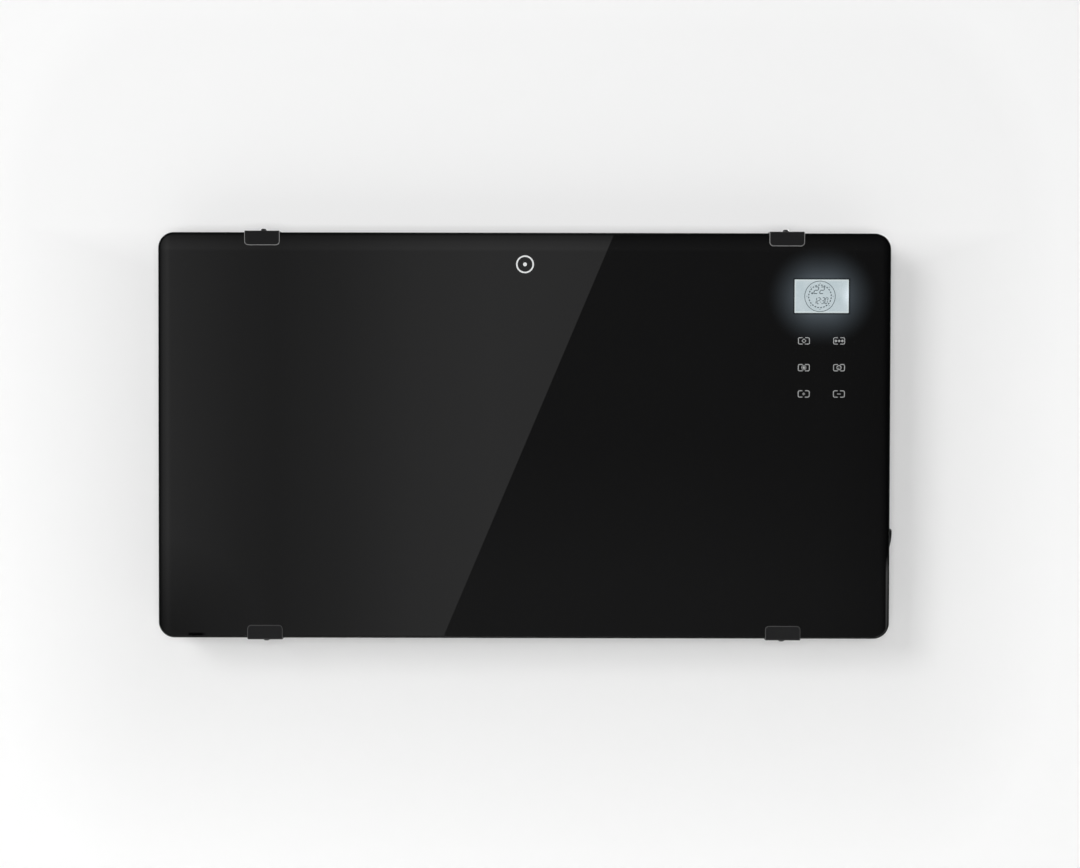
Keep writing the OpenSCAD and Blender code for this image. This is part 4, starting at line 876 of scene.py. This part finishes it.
def studio_world(seen, mirrored, around):
    """Pale where the camera looks past the stage, dark in the mirror of the glass, soft light elsewhere."""
    world = bpy.data.worlds.new("studio")
    world.use_nodes = True
    tree = world.node_tree
    background = tree.nodes["Background"]
    background.inputs["Color"].default_value = (1.0, 1.0, 1.0, 1.0)
    rays = add(tree, "LightPath")
    straight = add(tree, "Math", operation="MULTIPLY_ADD")
    straight.inputs[1].default_value = seen - around
    straight.inputs[2].default_value = around
    tree.links.new(rays.outputs["Is Camera Ray"], straight.inputs[0])
    so_far = straight
    for kind in ("Is Glossy Ray", "Is Transmission Ray"):
        mirror = add(tree, "Math", operation="MULTIPLY_ADD")
        mirror.inputs[1].default_value = mirrored - around
        tree.links.new(rays.outputs[kind], mirror.inputs[0])
        tree.links.new(so_far.outputs[0], mirror.inputs[2])
        so_far = mirror
    tree.links.new(so_far.outputs[0], background.inputs["Strength"])
    bpy.context.scene.world = world


def reflection_card(camera):
    """A card behind the camera that shows only in what the glass and other glossy faces mirror."""
    reach, width, height = 4.5, 3.2, 2.6
    eye = camera.location
    bm = bmesh.new()
    flat_bar(bm, 0.0, 0.0, width, height)
    paint = card_paint("card_light", eye, reach / (GLASS_FRONT - eye.y))
    place = Matrix.Translation((0.0, GLASS_FRONT - reach, -0.2))
    made = new_piece("reflection_card", bm, paint, None, place @ FRONT)
    made.visible_camera = False
    made.visible_diffuse = False
    made.visible_shadow = False
    made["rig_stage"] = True


def light_from_behind():
    """Two lamps behind the wall that light the heater alone, for the views of its back."""
    lit = bpy.data.collections.new("heater_pieces")
    bpy.context.scene.collection.children.link(lit)
    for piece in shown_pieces():
        lit.objects.link(piece)
    for name, place, power in (
            ("back_light_left", (1.6, 2.6, 1.5), 90.0),
            ("back_light_right", (-2.2, 2.2, 0.6), 60.0)):
        lamp = soft_light(name, place, 1.4, power)
        lamp.light_linking.receiver_collection = lit
        lamp.light_linking.blocker_collection = lit


# Finishes by the record's material slots

FINISHES = {
    "rail_zinc": zinc_plate("rail_zinc", (0.62, 0.63, 0.64)),
    "casing_paint": powder_coat("casing_paint", (0.03, 0.03, 0.032)),
    "cap_plastic": moulded("cap_plastic", (0.028, 0.028, 0.03)),
    "grille_plastic": moulded("grille_plastic", (0.022, 0.022, 0.024), (0.62, 0.72)),
    "front_glass": clear_glass("front_glass"),
    "back_print": fired_print("back_print"),
    "foam": soft_rubber("foam", (0.09, 0.09, 0.09)),
    "clip_paint": powder_coat("clip_paint", (0.0125, 0.0125, 0.013), 0.25),
    "pad_rubber": soft_rubber("pad_rubber", (0.02, 0.02, 0.02)),
    "screw_black": bare_metal("screw_black", (0.09, 0.09, 0.095), (0.3, 0.45), (1, 1, 1)),
    "screw_steel": bare_metal("screw_steel", (0.55, 0.55, 0.56), (0.3, 0.45), (1, 1, 1)),
    "fin_aluminium": bare_metal("fin_aluminium", (0.78, 0.79, 0.8)),
    "tube_steel": bare_metal("tube_steel", (0.38, 0.35, 0.32)),
    "ceramic": moulded("ceramic", (0.78, 0.75, 0.66), (0.6, 0.75)),
    "bracket_steel": zinc_plate("bracket_steel", (0.6, 0.61, 0.62)),
    "shield_aluminium": bare_metal("shield_aluminium", (0.8, 0.81, 0.82), (0.2, 0.3)),
    "housing_plastic": moulded("housing_plastic", (0.03, 0.03, 0.032)),
    "board_green": circuit_board("board_green", (0.03, 0.16, 0.07)),
    "touch_foam": soft_rubber("touch_foam", (0.05, 0.05, 0.055)),
    "lcd_glass": lit_display("lcd_glass"),
    "light_plastic": glossy_moulding("light_plastic", (0.9, 0.92, 0.94)),
    "seal_rubber": soft_rubber("seal_rubber", (0.015, 0.015, 0.015)),
    "tray_plastic": moulded("tray_plastic", (0.7, 0.7, 0.67)),
    "relay_plastic": glossy_moulding("relay_plastic", (0.02, 0.02, 0.024)),
    "core_iron": powder_coat("core_iron", (0.2, 0.18, 0.15)),
    "capacitor_sleeve": glossy_moulding("capacitor_sleeve", (0.03, 0.05, 0.16)),
    "plug_plastic": moulded("plug_plastic", (0.8, 0.78, 0.68)),
    "ribbon_plastic": moulded("ribbon_plastic", (0.35, 0.35, 0.37)),
    "switch_plastic": glossy_moulding("switch_plastic", (0.012, 0.012, 0.013)),
    "wire_brown": soft_rubber("wire_brown", (0.16, 0.07, 0.03)),
    "wire_red": soft_rubber("wire_red", (0.35, 0.03, 0.02)),
    "wire_grey": soft_rubber("wire_grey", (0.08, 0.08, 0.085)),
    "pendulum_brass": bare_metal("pendulum_brass", (0.6, 0.45, 0.18)),
    "gland_nylon": moulded("gland_nylon", (0.02, 0.02, 0.02)),
    "spacer_plastic": moulded("spacer_plastic", (0.028, 0.028, 0.03)),
    "tip_rubber": soft_rubber("tip_rubber", (0.015, 0.015, 0.015)),
}

camera = photo_camera()
# Painted highlights for the eased edges of the clips: pale on the upper clips and dimmer on the lower ones,
# as lamps from above would light them
painted_edge_highlights = {
    "top": surface("painted_edge_highlight", (0.3, 0.3, 0.3), (0.35, 0.5), depth=0.02 * MM),
    "bottom": surface("dimmer_painted_edge_highlight", (0.09, 0.09, 0.09), (0.35, 0.5), depth=0.02 * MM),
}

slot_of = {row["node"]: row["material_slot"] for row in frame["record"]["subparts"]}
for node, piece in frame["nodes"].items():
    piece.data.materials.clear()
    piece.data.materials.append(FINISHES[slot_of[node]])

# CAD nodes that a copy with eased edges stands for
for node, name, ease in (
        ("wall_rail", "zinc_rail", 0.25 * MM),
        ("rear_shell", "casing_sheet", 0.0),
        ("front_plate", "casing_front", 0.0),
        ("side_cap_left", "end_cap_left", 0.0),
        ("side_cap_right", "end_cap_right", 0.0),
        ("outlet_grille", "louvre_grille", 0.0),
        ("glass_clip_top_left", "clip_top_left", 0.6 * MM),
        ("glass_clip_top_right", "clip_top_right", 0.6 * MM),
        ("glass_clip_bottom_left", "clip_bottom_left", 0.6 * MM),
        ("glass_clip_bottom_right", "clip_bottom_right", 0.6 * MM),
        ("power_switch", "switch_body", 0.3 * MM),
        ("power_rocker", "rocker", 1.8 * MM),
        ("cord_gland", "gland", 0.4 * MM),
        ("wall_spacers", "spacer_feet", 0.4 * MM),
        ("spacer_tips", "spacer_pads", 0.5 * MM)):
    # The clips' eased edges get a painted highlight
    highlight_finish = painted_edge_highlights[name.split("_")[1]] if "clip" in name else None
    dressed(node, name, FINISHES[slot_of[node]], ease, highlight_finish,
            4 if node == "power_rocker" else 2)

# The glass, the marks and the screws
white_ink = print_ink("white_ink", (0.70, 0.71, 0.71))
front_glass(FINISHES["front_glass"], ground_edge("ground_edge"), backed_glass("backed_glass"))
printed_marks(white_ink, print_ink("key_ink", (0.34, 0.345, 0.345)))
display_dial(display_ink("display_ink"))
rocker_marks(white_ink)
screws("clip_screw_set", "clip_screws", clip_screw_places(), CLIP_SCREW, "screw_black")
screws("cap_screw_set", "cap_screws", cap_screw_places(), CAP_SCREW, "screw_black")

# Stage and lamps
# Wall paint with painted shade darkening it round the heater
plaster_with_painted_shade = studio_paint("plaster_with_painted_shade", (0.93, 0.93, 0.93), (0.80, 0.80, 0.80))
flat_stage("wall", 9.0, 6.0, plaster_with_painted_shade, (0.0, 0.001, 0.0), FRONT)
flat_stage("floor", 9.0, 2.0, studio_paint("floor_paint", (0.86, 0.86, 0.85)), (0.0, -1.0, GLASS_Z - 0.6),
           Matrix.Identity(4))
studio_world(seen=0.93, mirrored=0.005, around=0.16)
for name, place, size, power in (
        ("key_light", (-3.2, -6.0, 2.0), 2.4, 133.0),
        ("front_light", (0.0, -7.0, 0.0), 2.0, 292.0)):
    lamp = soft_light(name, place, size, power)
    lamp.visible_glossy = False
    lamp.visible_transmission = False
reflection_card(camera)
light_from_behind()

bpy.context.scene.view_settings.view_transform = "Standard"
